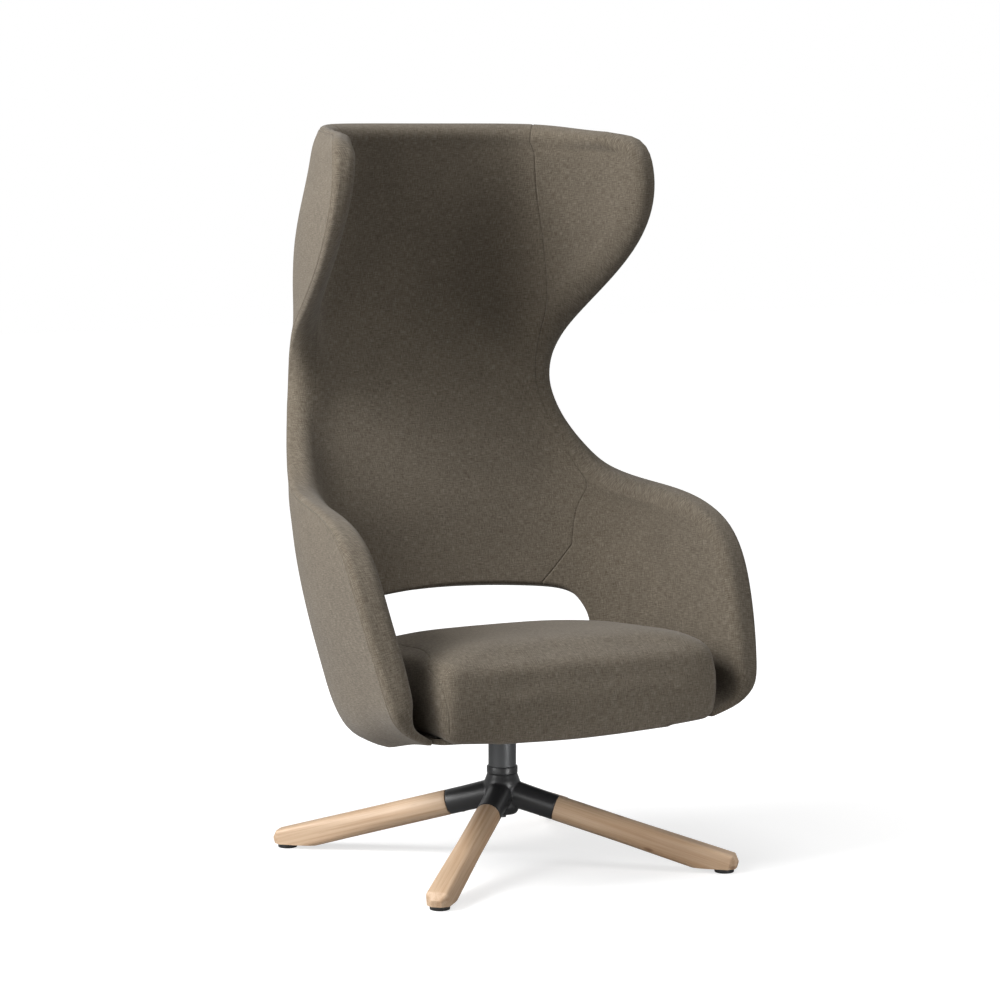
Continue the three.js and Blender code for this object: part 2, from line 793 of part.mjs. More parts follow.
// One level line of the cushion, drawn in from its widest outline, at a height over its underside
function cushionLine(drawnIn, height) {
  const share = height / cushionHeight;
  const half = cushionWidth / 2 - drawnIn;
  const front = drawnIn - cushionFront;
  const rear = cushionRear + cushionLean * Math.min(share, 1) - drawnIn;
  const bends = [
    [half, front, cushionFrontRadius, -1],
    [half, rear, cushionRearRadius, 0],
    [-half, rear, cushionRearRadius, 1],
    [-half, front, cushionFrontRadius, 2],
  ];
  const line = [];
  bends.forEach(([x, y, radius, quarter], index) => {
    const centreX = x - Math.sign(x) * radius;
    const centreY = y === front ? front + radius : rear - radius;
    for (let k = 0; k <= cornerSteps; k += 1) {
      const turn = Math.PI / 2 * (quarter + k / cornerSteps);
      line.push([centreX + radius * Math.cos(turn), centreY + radius * Math.sin(turn)]);
    }
    const next = bends[(index + 1) % bends.length];
    line.push(...sidePoints(line[line.length - 1], next, front, rear));
  });
  return line.map(([x, y]) => {
    const back = (y - front) / (rear - front);
    const lift = height - cushionDrop * back * Math.min(share, 1);
    return new THREE.Vector3(x, y, panTop + seatGap + lift);
  });
}

// Points along a side up to the next corner, bowed out
function sidePoints([startX, startY], [x, y, radius, quarter], front, rear) {
  const centreX = x - Math.sign(x) * radius;
  const centreY = y === front ? front + radius : rear - radius;
  const endX = centreX + radius * Math.cos(Math.PI / 2 * quarter);
  const endY = centreY + radius * Math.sin(Math.PI / 2 * quarter);
  const points = [];
  for (let k = 1; k < sideSteps; k += 1) {
    const share = k / sideSteps;
    const bow = cushionBow * (1 - (2 * share - 1) ** 2);
    points.push([
      THREE.MathUtils.lerp(startX, endX, share) + bow * Math.cos(Math.PI / 2 * quarter),
      THREE.MathUtils.lerp(startY, endY, share) + bow * Math.sin(Math.PI / 2 * quarter),
    ]);
  }
  return points;
}

function seatCushion() {
  const rings = [];
  for (let k = 0; k <= cornerSteps - 2; k += 1) {
    const turn = Math.PI / 2 * k / (cornerSteps - 2);
    const drawnIn = cushionDrawIn + cushionBottomRadius * (1 - Math.sin(turn));
    rings.push(cushionLine(drawnIn, cushionBottomRadius * (1 - Math.cos(turn))));
  }
  rings.push(cushionLine(0, cushionHeight / 2));
  for (let k = 0; k <= cornerSteps; k += 1) {
    const turn = Math.PI / 2 * k / cornerSteps;
    const drawnIn = cushionDrawIn + cushionTopRadius * (1 - Math.cos(turn));
    rings.push(cushionLine(drawnIn, cushionHeight - cushionTopRadius * (1 - Math.sin(turn))));
  }
  const edge = rings[rings.length - 1];
  const centre = edge.reduce((sum, point) => sum.add(point), new THREE.Vector3());
  centre.divideScalar(edge.length);
  for (let k = 1; k <= crownSteps; k += 1) {
    const share = 1 - k / (crownSteps + 1);
    const rise = cushionCrown * (1 - share ** crownFullness);
    rings.push(edge.map((point) => {
      const inner = point.clone().lerp(centre, 1 - share);
      inner.z += rise;
      return inner;
    }));
  }
  return loft(rings);
}

// Seat plate and swivel, from the top down

const spindleTop = plateBottom - seatGap;
const bearingTop = spindleTop - spindleHead - runningGap;
const flangeTop = bearingTop - bearingThickness - runningGap;
const columnTop = flangeTop - bushFlange - seatGap;
const lowerBushTop = columnTop - bushSpacing;
const lowerBushBottom = lowerBushTop - bushHeight;
const clipTop = lowerBushBottom - runningGap;
const clipGroove = clipThickness + 2 * seatGap;
const columnBore = columnDiameter - 2 * columnWall;
const bushBore = spindleDiameter + 2 * runningGap;

function seatPlate() {
  const shape = roundedRectangle(plateSize, -plateSize / 2, plateSize / 2, plateCornerRadius);
  const holes = corners.map(([, sideX, sideY]) => (
    rod(boltDiameter + holePlay, plateBottom - overrun, plateTop + overrun, smallSides)
      .translate(sideX * platePitch / 2, sideY * platePitch / 2, 0)
  ));
  const centre = rod(spindleBoltDiameter + holePlay, plateBottom - overrun, plateTop + overrun,
    smallSides);
  return cut(board(shape, plateBottom, plateThickness), centre, ...holes);
}

// A bolt with its head below and a hexagon socket
function boltUp(diameter, headDiameter, head, length, under) {
  const bolt = turned([
    [0, under - head], [headDiameter / 2, under - head], [headDiameter / 2, under],
    [diameter / 2, under], [diameter / 2, under + length], [0, under + length],
  ], smallSides);
  const socketTop = under - head + boltSocketDepth;
  return cut(bolt, rod(boltSocket, under - head - overrun, socketTop, hexSides));
}

// A bolt with its head on top
function boltDown(diameter, headDiameter, head, length, over) {
  const bolt = boltUp(diameter, headDiameter, head, length, 0);
  return bolt.rotateX(Math.PI).translate(0, 0, over);
}

function plateBolt(sideX, sideY) {
  const bolt = boltUp(boltDiameter, boltHeadDiameter, boltHead, boltLength, plateBottom - seatGap);
  return bolt.translate(sideX * platePitch / 2, sideY * platePitch / 2, 0);
}

function spindleBolt() {
  return boltDown(spindleBoltDiameter, spindleBoltHeadDiameter, spindleBoltHead - seatGap,
    spindleBoltLength, plateTop + seatGap);
}

function spindle() {
  const radius = spindleDiameter / 2;
  const waist = radius - clipGrooveDepth;
  const headRadius = spindleHeadDiameter / 2;
  const headBottom = spindleTop - spindleHead;
  const body = turned([
    [0, lowerBushBottom - spindleTail], [radius, lowerBushBottom - spindleTail],
    [radius, clipTop - clipGroove + seatGap], [waist, clipTop - clipGroove + seatGap],
    [waist, clipTop + seatGap], [radius, clipTop + seatGap], [radius, headBottom],
    [headRadius, headBottom], [headRadius, spindleTop], [0, spindleTop],
  ]);
  const thread = spindleTop - spindleBoltLength - holePlay;
  return cut(body, rod(spindleBoltDiameter + holePlay, thread, spindleTop + overrun, smallSides));
}

function spindleClip() {
  const inner = spindleDiameter - 2 * clipGrooveDepth + 2 * seatGap;
  const round = ring(clipDiameter, inner, clipTop - clipThickness, clipTop);
  const opening = new THREE.BoxGeometry(clipDiameter, clipOpening, clipGroove * 2);
  return cut(round, opening.translate(clipDiameter / 2, 0, clipTop));
}

function thrustBearing() {
  return ring(bearingDiameter, bushBore, bearingTop - bearingThickness, bearingTop);
}

function upperBush() {
  const outer = columnBore / 2 - seatGap;
  const foot = flangeTop - bushFlange - bushHeight;
  return turned([
    [bushBore / 2, foot], [outer, foot], [outer, flangeTop - bushFlange],
    [bushFlangeDiameter / 2, flangeTop - bushFlange], [bushFlangeDiameter / 2, flangeTop],
    [bushBore / 2, flangeTop], [bushBore / 2, foot],
  ]);
}

function lowerBush() {
  return ring(columnBore - 2 * seatGap, bushBore, lowerBushBottom, lowerBushTop);
}

const columnBottom = bossBottom + hubFloor + seatGap;

function columnTube() {
  const bolt = (hubScrewDiameter + holePlay) / 2;
  const footTop = columnBottom + columnFoot;
  return turned([
    [bolt, columnBottom], [columnDiameter / 2, columnBottom], [columnDiameter / 2, columnTop],
    [columnBore / 2, columnTop], [columnBore / 2, footTop], [bolt, footTop], [bolt, columnBottom],
  ]);
}

// Hub casting

const hubBore = columnDiameter + 2 * seatGap;
const legTurn = legSlope * degree;

// Moves a piece drawn along +X and over +Z to a leg's place
function alongLeg(geometry, turn) {
  return geometry.rotateY(legTurn).translate(0, 0, legRootHeight).rotateZ(turn);
}

// The distance along the leg's axis at a reach from the column's axis
function legStation(reach) {
  return reach / Math.cos(legTurn);
}

function roundBar(points, sides = roundSides) {
  const bar = turned(points.map(([radius, station]) => [radius, station]), sides);
  return bar.rotateY(Math.PI / 2);
}

function sleeve(turn) {
  const mouth = legDiameter / 2;
  const root = mouth + sleeveFlare;
  const flareEnd = legStation((sleeveRoot + sleeveReach) / 2);
  const bar = roundBar([
    [0, 0], [root, 0], [root, legStation(sleeveRoot)],
    [mouth + sleeveFlare * flareShares[0], legStation((3 * sleeveRoot + sleeveReach) / 4)],
    [mouth + sleeveFlare * flareShares[1], flareEnd], [mouth, legStation(sleeveReach)],
    [0, legStation(sleeveReach)],
  ]);
  return alongLeg(bar, turn);
}

const tenonRadius = legDiameter / 2 - sleeveWall - seatGap;
const legShoulder = legStation(sleeveReach);

function socket(turn) {
  const radius = tenonRadius + seatGap;
  const bottom = legShoulder - tenonLength - seatGap;
  const end = legShoulder + overrun;
  return alongLeg(roundBar([[0, bottom], [radius, bottom], [radius, end], [0, end]]), turn);
}

const legScrewStation = legStation(legScrewReach);
const legScrewSeat = -legDiameter / 2 + legScrewSink;

function legScrewHole(turn) {
  const bore = (legScrewDiameter + holePlay) / 2;
  const spot = legScrewHeadDiameter / 2 + holePlay;
  const low = legScrewSeat - legDiameter / 4;
  const high = legScrewSeat + legScrewLength + holePlay;
  const points = [
    [0, low], [spot, low], [spot, legScrewSeat], [bore, legScrewSeat], [bore, high], [0, high],
  ];
  return alongLeg(turned(points, smallSides).translate(legScrewStation, 0, 0), turn);
}

function legScrew(turn) {
  const screw = boltUp(legScrewDiameter, legScrewHeadDiameter, legScrewHead, legScrewLength,
    legScrewSeat - seatGap);
  return alongLeg(screw.translate(legScrewStation, 0, 0), turn);
}

const legTurns = corners.map(([, sideX, sideY]) => Math.atan2(sideY, sideX));
const neckTop = collarTop - collarHeight - seatGap;

function hubCasting() {
  const boss = bossDiameter / 2;
  const body = bodyDiameter / 2;
  const core = turned([
    [0, bossBottom], [boss - bossChamfer, bossBottom], [boss, bossBottom + bossChamfer],
    [body, bodyBottom], [body, bodyTop - bodyShoulder], [shoulderDiameter / 2, bodyTop],
    [neckDiameter / 2, bodyTop + bodyShoulder], [neckDiameter / 2, neckTop], [0, neckTop],
  ], roundSides);
  const bore = rod(hubBore, bossBottom + hubFloor, neckTop + overrun);
  const hole = rod(hubScrewDiameter + holePlay, bossBottom - overrun, bossBottom + hubFloor
    + overrun, smallSides);
  const cast = join(core, ...legTurns.map(sleeve));
  return cut(cast, bore, hole, ...legTurns.map(socket), ...legTurns.map(legScrewHole));
}

function columnCollar() {
  const inner = hubBore / 2;
  const outer = collarDiameter / 2;
  return turned([
    [inner, collarTop - collarHeight], [outer, collarTop - collarHeight],
    [outer, collarTop - collarChamfer], [outer - collarChamfer, collarTop], [inner, collarTop],
    [inner, collarTop - collarHeight],
  ]);
}

function hubWasher() {
  const top = bossBottom - seatGap;
  return ring(washerDiameter, hubScrewDiameter + holePlay, top - washerThickness, top, smallSides);
}

function hubScrew() {
  return boltUp(hubScrewDiameter, hubScrewHeadDiameter, hubScrewHead, hubScrewLength,
    bossBottom - washerThickness - 2 * seatGap);
}

// Legs and glides

// The leg's section at a share of its length: round at the sleeve, a soft square at the tip
function legSection(share, station, drawnIn) {
  const morph = Math.max(share - legMorphShare, 0) / (1 - legMorphShare);
  const fullness = 2 + (legSquareness - 2) * morph * morph;
  const halfWidth = THREE.MathUtils.lerp(legDiameter, legEndWidth, morph) / 2 - drawnIn;
  const halfHeight = THREE.MathUtils.lerp(legDiameter, legEndHeight, morph) / 2 - drawnIn;
  const points = [];
  for (let k = 0; k < legSides; k += 1) {
    const turn = 2 * Math.PI * (k + 1 / 2) / legSides;
    const across = Math.cos(turn);
    const up = Math.sin(turn);
    points.push(new THREE.Vector3(
      station,
      halfWidth * Math.sign(across) * Math.abs(across) ** (2 / fullness),
      halfHeight * Math.sign(up) * Math.abs(up) ** (2 / fullness),
    ));
  }
  return points;
}

const legShares = [0, 0.25, 0.42, 0.58, 0.74, 0.88, 1];

function leg(turn) {
  const start = legShoulder + seatGap;
  const tip = legStation(legReach);
  const chamferStart = tip - legTipChamfer;
  const rings = legShares.map((share) => (
    legSection(share, THREE.MathUtils.lerp(start, chamferStart, share), 0)
  ));
  rings.push(legSection(1, tip, legTipChamfer));
  const end = start + overrun;
  const foot = legShoulder - tenonLength;
  const tenon = roundBar([[0, foot], [tenonRadius, foot], [tenonRadius, end], [0, end]]);
  const timber = alongLeg(join(loft(rings), tenon), turn);
  const floor = new THREE.BoxGeometry(2 * legReach, legReach, legEndHeight);
  floor.translate(legReach, 0, glideHeight + seatGap - legEndHeight / 2).rotateZ(turn);
  const stem = rod(stemDiameter + holePlay, 0, glideHeight + stemLength + holePlay, smallSides);
  stem.translate(glideReach, 0, 0).rotateZ(turn);
  return cut(timber, floor, stem, legScrewHole(turn));
}

function glide(turn) {
  const foot = glideDiameter / 2;
  const stem = stemDiameter / 2;
  const pad = turned([
    [0, 0], [foot - glideChamfer, 0], [foot, glideChamfer], [foot, glideHeight],
    [stem, glideHeight], [stem, glideHeight + stemLength], [0, glideHeight + stemLength],
  ], smallSides * 2);
  return pad.translate(glideReach, 0, 0).rotateZ(turn);
}

// Finishes: colour, roughness, metalness
const finishes = {
  wool: [0x6e665a, 0.95, 0],
  blackFelt: [0x26241f, 0.95, 0],
  oak: [0xdcbe9b, 0.55, 0],
  blackCasting: [0x1b1b1c, 0.45, 0.4],
  greySteel: [0x4b4d4f, 0.4, 0.8],
  brightSteel: [0xa9abad, 0.35, 0.9],
  blackPlastic: [0x161616, 0.6, 0],
  paleBush: [0xd8d4c8, 0.5, 0],
};

const chair = new THREE.Group();
chair.name = 'high_back_lounge_chair';

function add(name, finish, geometry) {
  const [color, roughness, metalness] = finishes[finish];
  const material = new THREE.MeshStandardMaterial({ color, roughness, metalness });
  const mesh = new THREE.Mesh(merged(geometry), material);
  mesh.name = name;
  chair.add(mesh);
}

add('outer_shell', 'wool', outerShell());
add('back_pad', 'wool', backPad());
add('wing_pad_left', 'wool', pad(isWing(-1)));
add('wing_pad_right', 'wool', pad(isWing(1)));
add('arm_pad_left', 'wool', pad(isArm(-1)));
add('arm_pad_right', 'wool', pad(isArm(1)));
add('shell_frame', 'greySteel', shellFrame());
add('seat_cushion', 'wool', seatCushion());
add('seat_pan', 'blackFelt', seatPan());
add('rim_screw_rear_left', 'brightSteel', rimScrew(rimScrewPlaces[0]));
add('rim_screw_side_left', 'brightSteel', rimScrew(rimScrewPlaces[1]));
add('rim_screw_rear_right', 'brightSteel', rimScrew(rimScrewPlaces[2]));
add('rim_screw_side_right', 'brightSteel', rimScrew(rimScrewPlaces[3]));
add('seat_plate', 'greySteel', seatPlate());
for (const [place, sideX, sideY] of corners) {
  add(`plate_bolt_${place}`, 'brightSteel', plateBolt(sideX, sideY));
}
add('spindle', 'brightSteel', spindle());
add('spindle_bolt', 'brightSteel', spindleBolt());
add('spindle_clip', 'brightSteel', spindleClip());
add('thrust_bearing', 'brightSteel', thrustBearing());
add('upper_bush', 'paleBush', upperBush());
add('lower_bush', 'paleBush', lowerBush());
add('column_tube', 'greySteel', columnTube());
add('column_collar', 'blackCasting', columnCollar());
add('hub_casting', 'blackCasting', hubCasting());
add('hub_washer', 'brightSteel', hubWasher());
add('hub_screw', 'brightSteel', hubScrew());
corners.forEach(([place], index) => {
  add(`leg_${place}`, 'oak', leg(legTurns[index]));
  add(`leg_screw_${place}`, 'brightSteel', legScrew(legTurns[index]));
  add(`glide_${place}`, 'blackPlastic', glide(legTurns[index]));
});

// The origin is on the floor under the middle of the whole chair
const bounds = new THREE.Box3().setFromObject(chair);
chair.position.y = -(bounds.min.y + bounds.max.y) / 2;
chair.updateMatrixWorld(true);

export default chair;
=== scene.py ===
import math
from contextlib import contextmanager

import bmesh
import bpy
import numpy as np
from mathutils import Matrix, Vector
from mathutils.bvhtree import BVHTree
from mathutils.kdtree import KDTree


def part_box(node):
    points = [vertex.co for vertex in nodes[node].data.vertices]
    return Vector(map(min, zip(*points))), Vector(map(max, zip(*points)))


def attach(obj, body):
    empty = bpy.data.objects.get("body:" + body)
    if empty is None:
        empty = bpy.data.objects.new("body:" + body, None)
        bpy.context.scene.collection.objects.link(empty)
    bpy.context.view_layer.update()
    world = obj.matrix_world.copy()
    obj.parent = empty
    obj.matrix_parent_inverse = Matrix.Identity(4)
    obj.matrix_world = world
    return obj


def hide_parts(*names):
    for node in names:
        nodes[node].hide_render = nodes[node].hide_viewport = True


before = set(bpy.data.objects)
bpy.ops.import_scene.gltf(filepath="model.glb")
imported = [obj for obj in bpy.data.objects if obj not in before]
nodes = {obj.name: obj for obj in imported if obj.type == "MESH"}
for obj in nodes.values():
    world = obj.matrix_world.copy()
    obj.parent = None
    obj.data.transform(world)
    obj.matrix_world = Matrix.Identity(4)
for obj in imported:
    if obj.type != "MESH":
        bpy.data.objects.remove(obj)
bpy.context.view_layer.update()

scene = bpy.context.scene
axisY = sum(corner[1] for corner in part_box("column_tube")) / 2  # the column's axis, front to back
print("frame loaded:", len(nodes), "nodes")

# Camera, at the photograph's angle

camera = {"place": (-3.00346, -5.2174, 1.315), "tilt": 83.7, "turn": -30.0, "lens": 121.7}


def placeCamera():
    eye = bpy.data.objects.new("camera", bpy.data.cameras.new("camera"))
    scene.collection.objects.link(eye)
    eye.location = camera["place"]
    eye.rotation_euler = (math.radians(camera["tilt"]), 0, math.radians(camera["turn"]))
    eye.data.lens = camera["lens"]
    eye.data.sensor_width = 36
    eye.data.clip_end = 60
    scene.camera = eye


placeCamera()

# Small helpers


@contextmanager
def editing(mesh):
    work = bmesh.new()
    work.from_mesh(mesh)
    yield work
    work.to_mesh(mesh)
    work.free()


def setAll(thing, **values):
    for name, value in values.items():
        setattr(thing, name, value)
    return thing


def newPiece(name, points, faces, smooth=True):
    mesh = bpy.data.meshes.new(name)
    mesh.from_pydata([tuple(p) for p in points], [], [tuple(int(k) for k in f) for f in faces])
    mesh.validate()
    mesh.update()
    with editing(mesh) as work:
        bmesh.ops.remove_doubles(work, verts=work.verts, dist=1e-7)
        bmesh.ops.recalc_face_normals(work, faces=work.faces)
    if smooth:
        mesh.shade_smooth()
    piece = bpy.data.objects.new(name, mesh)
    scene.collection.objects.link(piece)
    return piece


def applyModifiers(piece):
    graph = bpy.context.evaluated_depsgraph_get()
    graph.update()
    mesh = bpy.data.meshes.new_from_object(piece.evaluated_get(graph))
    piece.modifiers.clear()
    piece.data = mesh


def modify(piece, kind, **settings):
    setAll(piece.modifiers.new(kind.lower(), kind), **settings)
    applyModifiers(piece)


def ringFaces(ringCount, sides, closeEnds=True):
    faces = []
    last = (ringCount - 1) * sides
    for ring in range(0, last, sides):
        for i in range(sides):
            a, b = ring + i, ring + (i + 1) % sides
            faces.append((a, b, b + sides, a + sides))
    if closeEnds:
        faces += [tuple(range(sides - 1, -1, -1)), tuple(range(last, last + sides))]
    return faces


def latheRings(profile, sides):
    # Points in metres from (radius, height) points in millimetres
    turns = np.arange(sides) * 2 * math.pi / sides
    return np.array([(radius * math.cos(turn), radius * math.sin(turn), height)
                     for radius, height in profile for turn in turns]) / 1000


def turnedPiece(name, profile, sides, place):
    # A closed turned form from (radius, height) points in millimetres; equal ends make a ring
    isRing = profile[0] == profile[-1]
    count = len(profile) - int(isRing)
    faces = ringFaces(count, sides, not isRing)
    if isRing:
        last = (count - 1) * sides
        for i in range(sides):
            faces.append((last + i, last + (i + 1) % sides, (i + 1) % sides, i))
    piece = newPiece(name, latheRings(profile[:count], sides) + np.array(place), faces)
    sharpenEdges(piece, 32)
    return piece


def sharpenEdges(piece, degrees):
    limit = math.radians(degrees)
    with editing(piece.data) as work:
        for edge in work.edges:
            if len(edge.link_faces) == 2 and edge.calc_face_angle() > limit:
                edge.smooth = False


def roundCorners(profile, radius):
    # Rounds each inner corner of a (radius, height) line in four steps
    out = [profile[0]]
    for before, here, after in zip(profile, profile[1:], profile[2:]):
        corner = np.array(here, float)
        ways = [np.array(end, float) - corner for end in (before, after)]
        start, end = (corner + unit(way) * min(radius, np.linalg.norm(way) * 0.45) for way in ways)
        for t in (0, 0.25, 0.5, 0.75, 1):
            out.append(tuple((1 - t) ** 2 * start + 2 * t * (1 - t) * corner + t * t * end))
    return out + [profile[-1]]


def unit(vectors):
    return vectors / np.maximum(np.linalg.norm(vectors, axis=-1, keepdims=True), 1e-12)


def runLength(line):
    # Length along a line of points, from its first one
    return np.concatenate([[0], np.cumsum(np.linalg.norm(np.diff(line, axis=0), axis=1))])


def easeStep(value, start, end):
    share = np.clip((value - start) / (end - start), 0, 1)
    return share * share * (3 - 2 * share)


# The shell's faces, from the same rows as the model, in millimetres round the column's axis

shell = {
    "bottom": 262.0, "height": 1058.0, "halfWidth": 400.0, "reach": 360.0, "thickness": 58.0,
    "handle": 0.9, "handleRise": 0.6,  # fullness of each row's curve, and its lift towards the rim
}
# Each row's height, depth, the rim's width, depth and height, flare in degrees and thickness
rowShares = [
    (0.988, 0.832, 0.733, 0.285, 0.977, 13, 0.69), (0.961, 0.868, 0.793, 0.13, 0.958, 12.3, 0.74),
    (0.93, 0.896, 0.81, 0.086, 0.929, 11.4, 0.75), (0.839, 0.961, 0.819, 0.133, 0.839, 8.6, 0.75),
    (0.745, 0.994, 0.779, 0.389, 0.745, 9, 0.76), (0.698, 1, 0.745, 0.575, 0.698, 14, 0.78),
    (0.65, 0.994, 0.705, 0.75, 0.65, 30, 0.8), (0.556, 0.958, 0.643, 0.877, 0.556, 71, 0.83),
    (0.461, 0.886, 0.71, 0.783, 0.459, 45, 0.9), (0.414, 0.842, 0.78, 0.639, 0.408, 30, 0.95),
    (0.371, 0.803, 0.84, 0.478, 0.378, 19, 1), (0.296, 0.731, 0.943, -0.03, 0.352, 7, 1),
    (0.22, 0.667, 0.988, -0.375, 0.303, 5.2, 1), (0.145, 0.594, 0.981, -0.547, 0.209, 5, 1),
    (0.069, 0.532, 0.94, -0.67, 0.1, 4.8, 0.93), (0.033, 0.49, 0.912, -0.7, 0.06, 4.5, 0.78),
    (0.01, 0.427, 0.845, -0.71, 0.027, 3, 0.42), (0, 0.311111, 0.725, -0.694, 0.004, 0, 0.2),
]


def rowTable():
    s = shell
    height, depth, rimWidth, rimDepth, rimHeight, flare, thick = np.array(rowShares).T
    return np.stack([
        s["bottom"] + height * s["height"], depth * s["reach"], rimWidth * s["halfWidth"],
        rimDepth * s["reach"], s["bottom"] + rimHeight * s["height"], np.radians(flare),
        thick * s["thickness"],
    ], 1)


def rowStationsOf(rows):
    steps = np.diff(rows, axis=0)
    middle = np.hypot(steps[:, 0], steps[:, 1])
    rim = np.sqrt((steps[:, 2:5] ** 2).sum(1))
    return np.concatenate([[0], np.cumsum((middle + rim) / 2)])


def splineThrough(stations, rows):
    # Natural cubic spline through rows of values
    count = len(rows)
    spans = np.diff(stations)
    slopes = np.diff(rows, axis=0) / spans[:, None]
    matrix = np.eye(count)
    right = np.zeros_like(rows)
    for k in range(1, count - 1):
        matrix[k, k - 1:k + 2] = spans[k - 1], 2 * (spans[k - 1] + spans[k]), spans[k]
        right[k] = 6 * (slopes[k] - slopes[k - 1])
    bends = np.linalg.solve(matrix, right)

    def at(place):
        k = np.clip(np.searchsorted(stations, place, side="left") - 1, 0, count - 2)
        span = spans[k]
        far = (place - stations[k]) / span
        near = 1 - far
        pull = (near ** 3 - near)[:, None] * bends[k] + (far ** 3 - far)[:, None] * bends[k + 1]
        straight = near[:, None] * rows[k] + far[:, None] * rows[k + 1]
        return straight + pull * (span ** 2)[:, None] / 6

    return at


rowSizes = rowTable()
rowStations = rowStationsOf(rowSizes)
rowSpline = splineThrough(rowStations, rowSizes)


def rowCurve(rows, across):
    height, depth, rimWidth, rimDepth, rimHeight, flare = rows[:, :6].T
    handle = shell["handle"]
    corner = rimWidth - (depth - rimDepth) * np.tan(flare)
    leg = handle * (depth - rimDepth) / np.cos(flare)
    handleHeight = height + (rimHeight - height) * shell["handleRise"]
    t = np.abs(across)
    s = 1 - t
    weights = [s ** 3, 3 * s * s * t, 3 * s * t * t, t ** 3]
    xs = [0 * depth, handle * corner, rimWidth - leg * np.sin(flare), rimWidth]
    ys = [depth, depth, rimDepth + leg * np.cos(flare), rimDepth]
    zs = [height, height, handleHeight, rimHeight]
    x, y, z = (sum(w * v for w, v in zip(weights, values)) for values in (xs, ys, zs))
    return np.stack([np.where(across < 0, -x, x), y, z], 1)


def outerPoint(across, along):
    return rowCurve(rowSpline(along * rowStations[-1]), across)


def outerNormal(across, along):
    step = 0.004
    down = np.clip(along, 0.02, 0.996)
    sideways = outerPoint(across + step, down) - outerPoint(across - step, down)
    downwards = outerPoint(across, down + step) - outerPoint(across, down - step)
    return unit(np.cross(sideways, downwards))


def innerRows(along):
    row = rowSpline(along * rowStations[-1])
    thick = row[:, 6:7]
    zero = np.zeros(len(row))
    middle = np.stack([zero, row[:, 1], row[:, 0]], 1) - outerNormal(zero, along) * thick
    rim = row[:, 2:5] - outerNormal(zero + 0.88, along) * thick
    out = row.copy()
    out[:, 0], out[:, 1], out[:, 2:5] = middle[:, 2], middle[:, 1], rim
    return out


def shellPoint(across, along, inwards):
    # across -1 to 1 from rim to rim, along 0 to 1 from the top down, inwards 0 outside to 1 inside
    across, along = np.broadcast_arrays(np.asarray(across, float), np.asarray(along, float))
    shape = across.shape
    across, along = across.ravel(), along.ravel()
    outer = outerPoint(across, along)
    if inwards == 0:
        return outer.reshape(*shape, 3)
    inner = rowCurve(innerRows(along), across)
    return (outer + (inner - outer) * inwards).reshape(*shape, 3)


# The upholstery's grid lines. Seams are grid lines, with finer spacing beside them.

upholstery = {
    "backColumns": 28, "wingColumns": 20, "rows": 120, "slotRings": 9,
    "slotRows": (0.742, 0.932),  # rows round the slot
    "slotColumn": 0.22,  # column round the slot, past the seam
    "rimReach": 22.0, "outerCorner": 13.0, "innerCorner": 24.0, "innerFullness": 2.3,
    "cornerSteps": 6, "slotLip": 7.0, "tipLift": 9.0, "tipStart": 165.0,
    "tipEnd": 265.0, "tipTop": 335.0, "tipBottom": 268.0, "seamDepth": 1.4, "seamWidth": 1.3,
    "rimSeamPlace": 0.15,  # along the outer corner's turn
    "rimSteps": (-4.0, -2.4, -1.2, 0, 1.2, 2.4, 4.0),  # beside the rim's seam
    "slotCloseness": 1.35,  # how much closer the loops lie at the slot's edge
    "edgeEase": 7.0, "edgeEaseReach": 36.0,
    "edgeEaseRows": ([0, 0.04, 0.14, 0.35, 0.6, 0.9, 1], [0, 0, 1, 1, 0.35, 0.2, 0]),
    "linerDepth": 13.0, "coverDepth": 7.0,
    "padShare": (0.28, 0.38), "slotRoom": (7.0, 12.0), "lipRoom": 4.0,  # outside, inside
}
# The seam between the back and the wings and arms: [along, across]
seamLine = np.array([
    (0, 0.520), (0.05, 0.521), (0.1, 0.533), (0.15, 0.573), (0.2, 0.640), (0.245, 0.738),
    (0.28, 0.835), (0.31, 0.905), (0.35, 0.938), (0.45, 0.945), (0.53, 0.942), (0.56, 0.92),
    (0.582, 0.86), (0.605, 0.765), (0.63, 0.655), (0.655, 0.567), (0.685, 0.497), (0.72, 0.447),
    (0.768, 0.405), (0.82, 0.385), (0.9, 0.382), (1, 0.39),
])
wingEnd = 0.345  # rows where the wings' panels end and the arms' panels start
armStart = 0.55
fineShares = np.array([0.0, 0.0035, 0.008, 0.016, 0.03, 0.05])


def seamAcross(along):
    spline = splineThrough(seamLine[:, 0], seamLine[:, 1:])
    return spline(np.atleast_1d(along))[:, 0]


def columnShares():
    fine = fineShares[-1]
    coarse = np.linspace(0, 1 - fine, upholstery["backColumns"])[:-1]
    back = np.concatenate([coarse, 1 - fineShares[::-1]])
    wing = np.linspace(1.2 * fine, 1, upholstery["wingColumns"])[1:]
    return back, np.concatenate([fineShares * 1.2, wing])[1:]


backShares, wingShares = columnShares()
seamColumn = len(backShares) - 1
halfColumns = seamColumn + len(wingShares)
rowLines = np.linspace(0, 1, upholstery["rows"] + 1)
columns, rows = 2 * halfColumns + 1, len(rowLines)


def acrossLines(along):
    # across values of every column, from rim to rim, at rows along
    seam = seamAcross(along)[:, None]
    half = np.concatenate([seam * backShares[None, :], seam + (1 - seam) * wingShares[None, :]], 1)
    return np.concatenate([-half[:, :0:-1], half], 1)


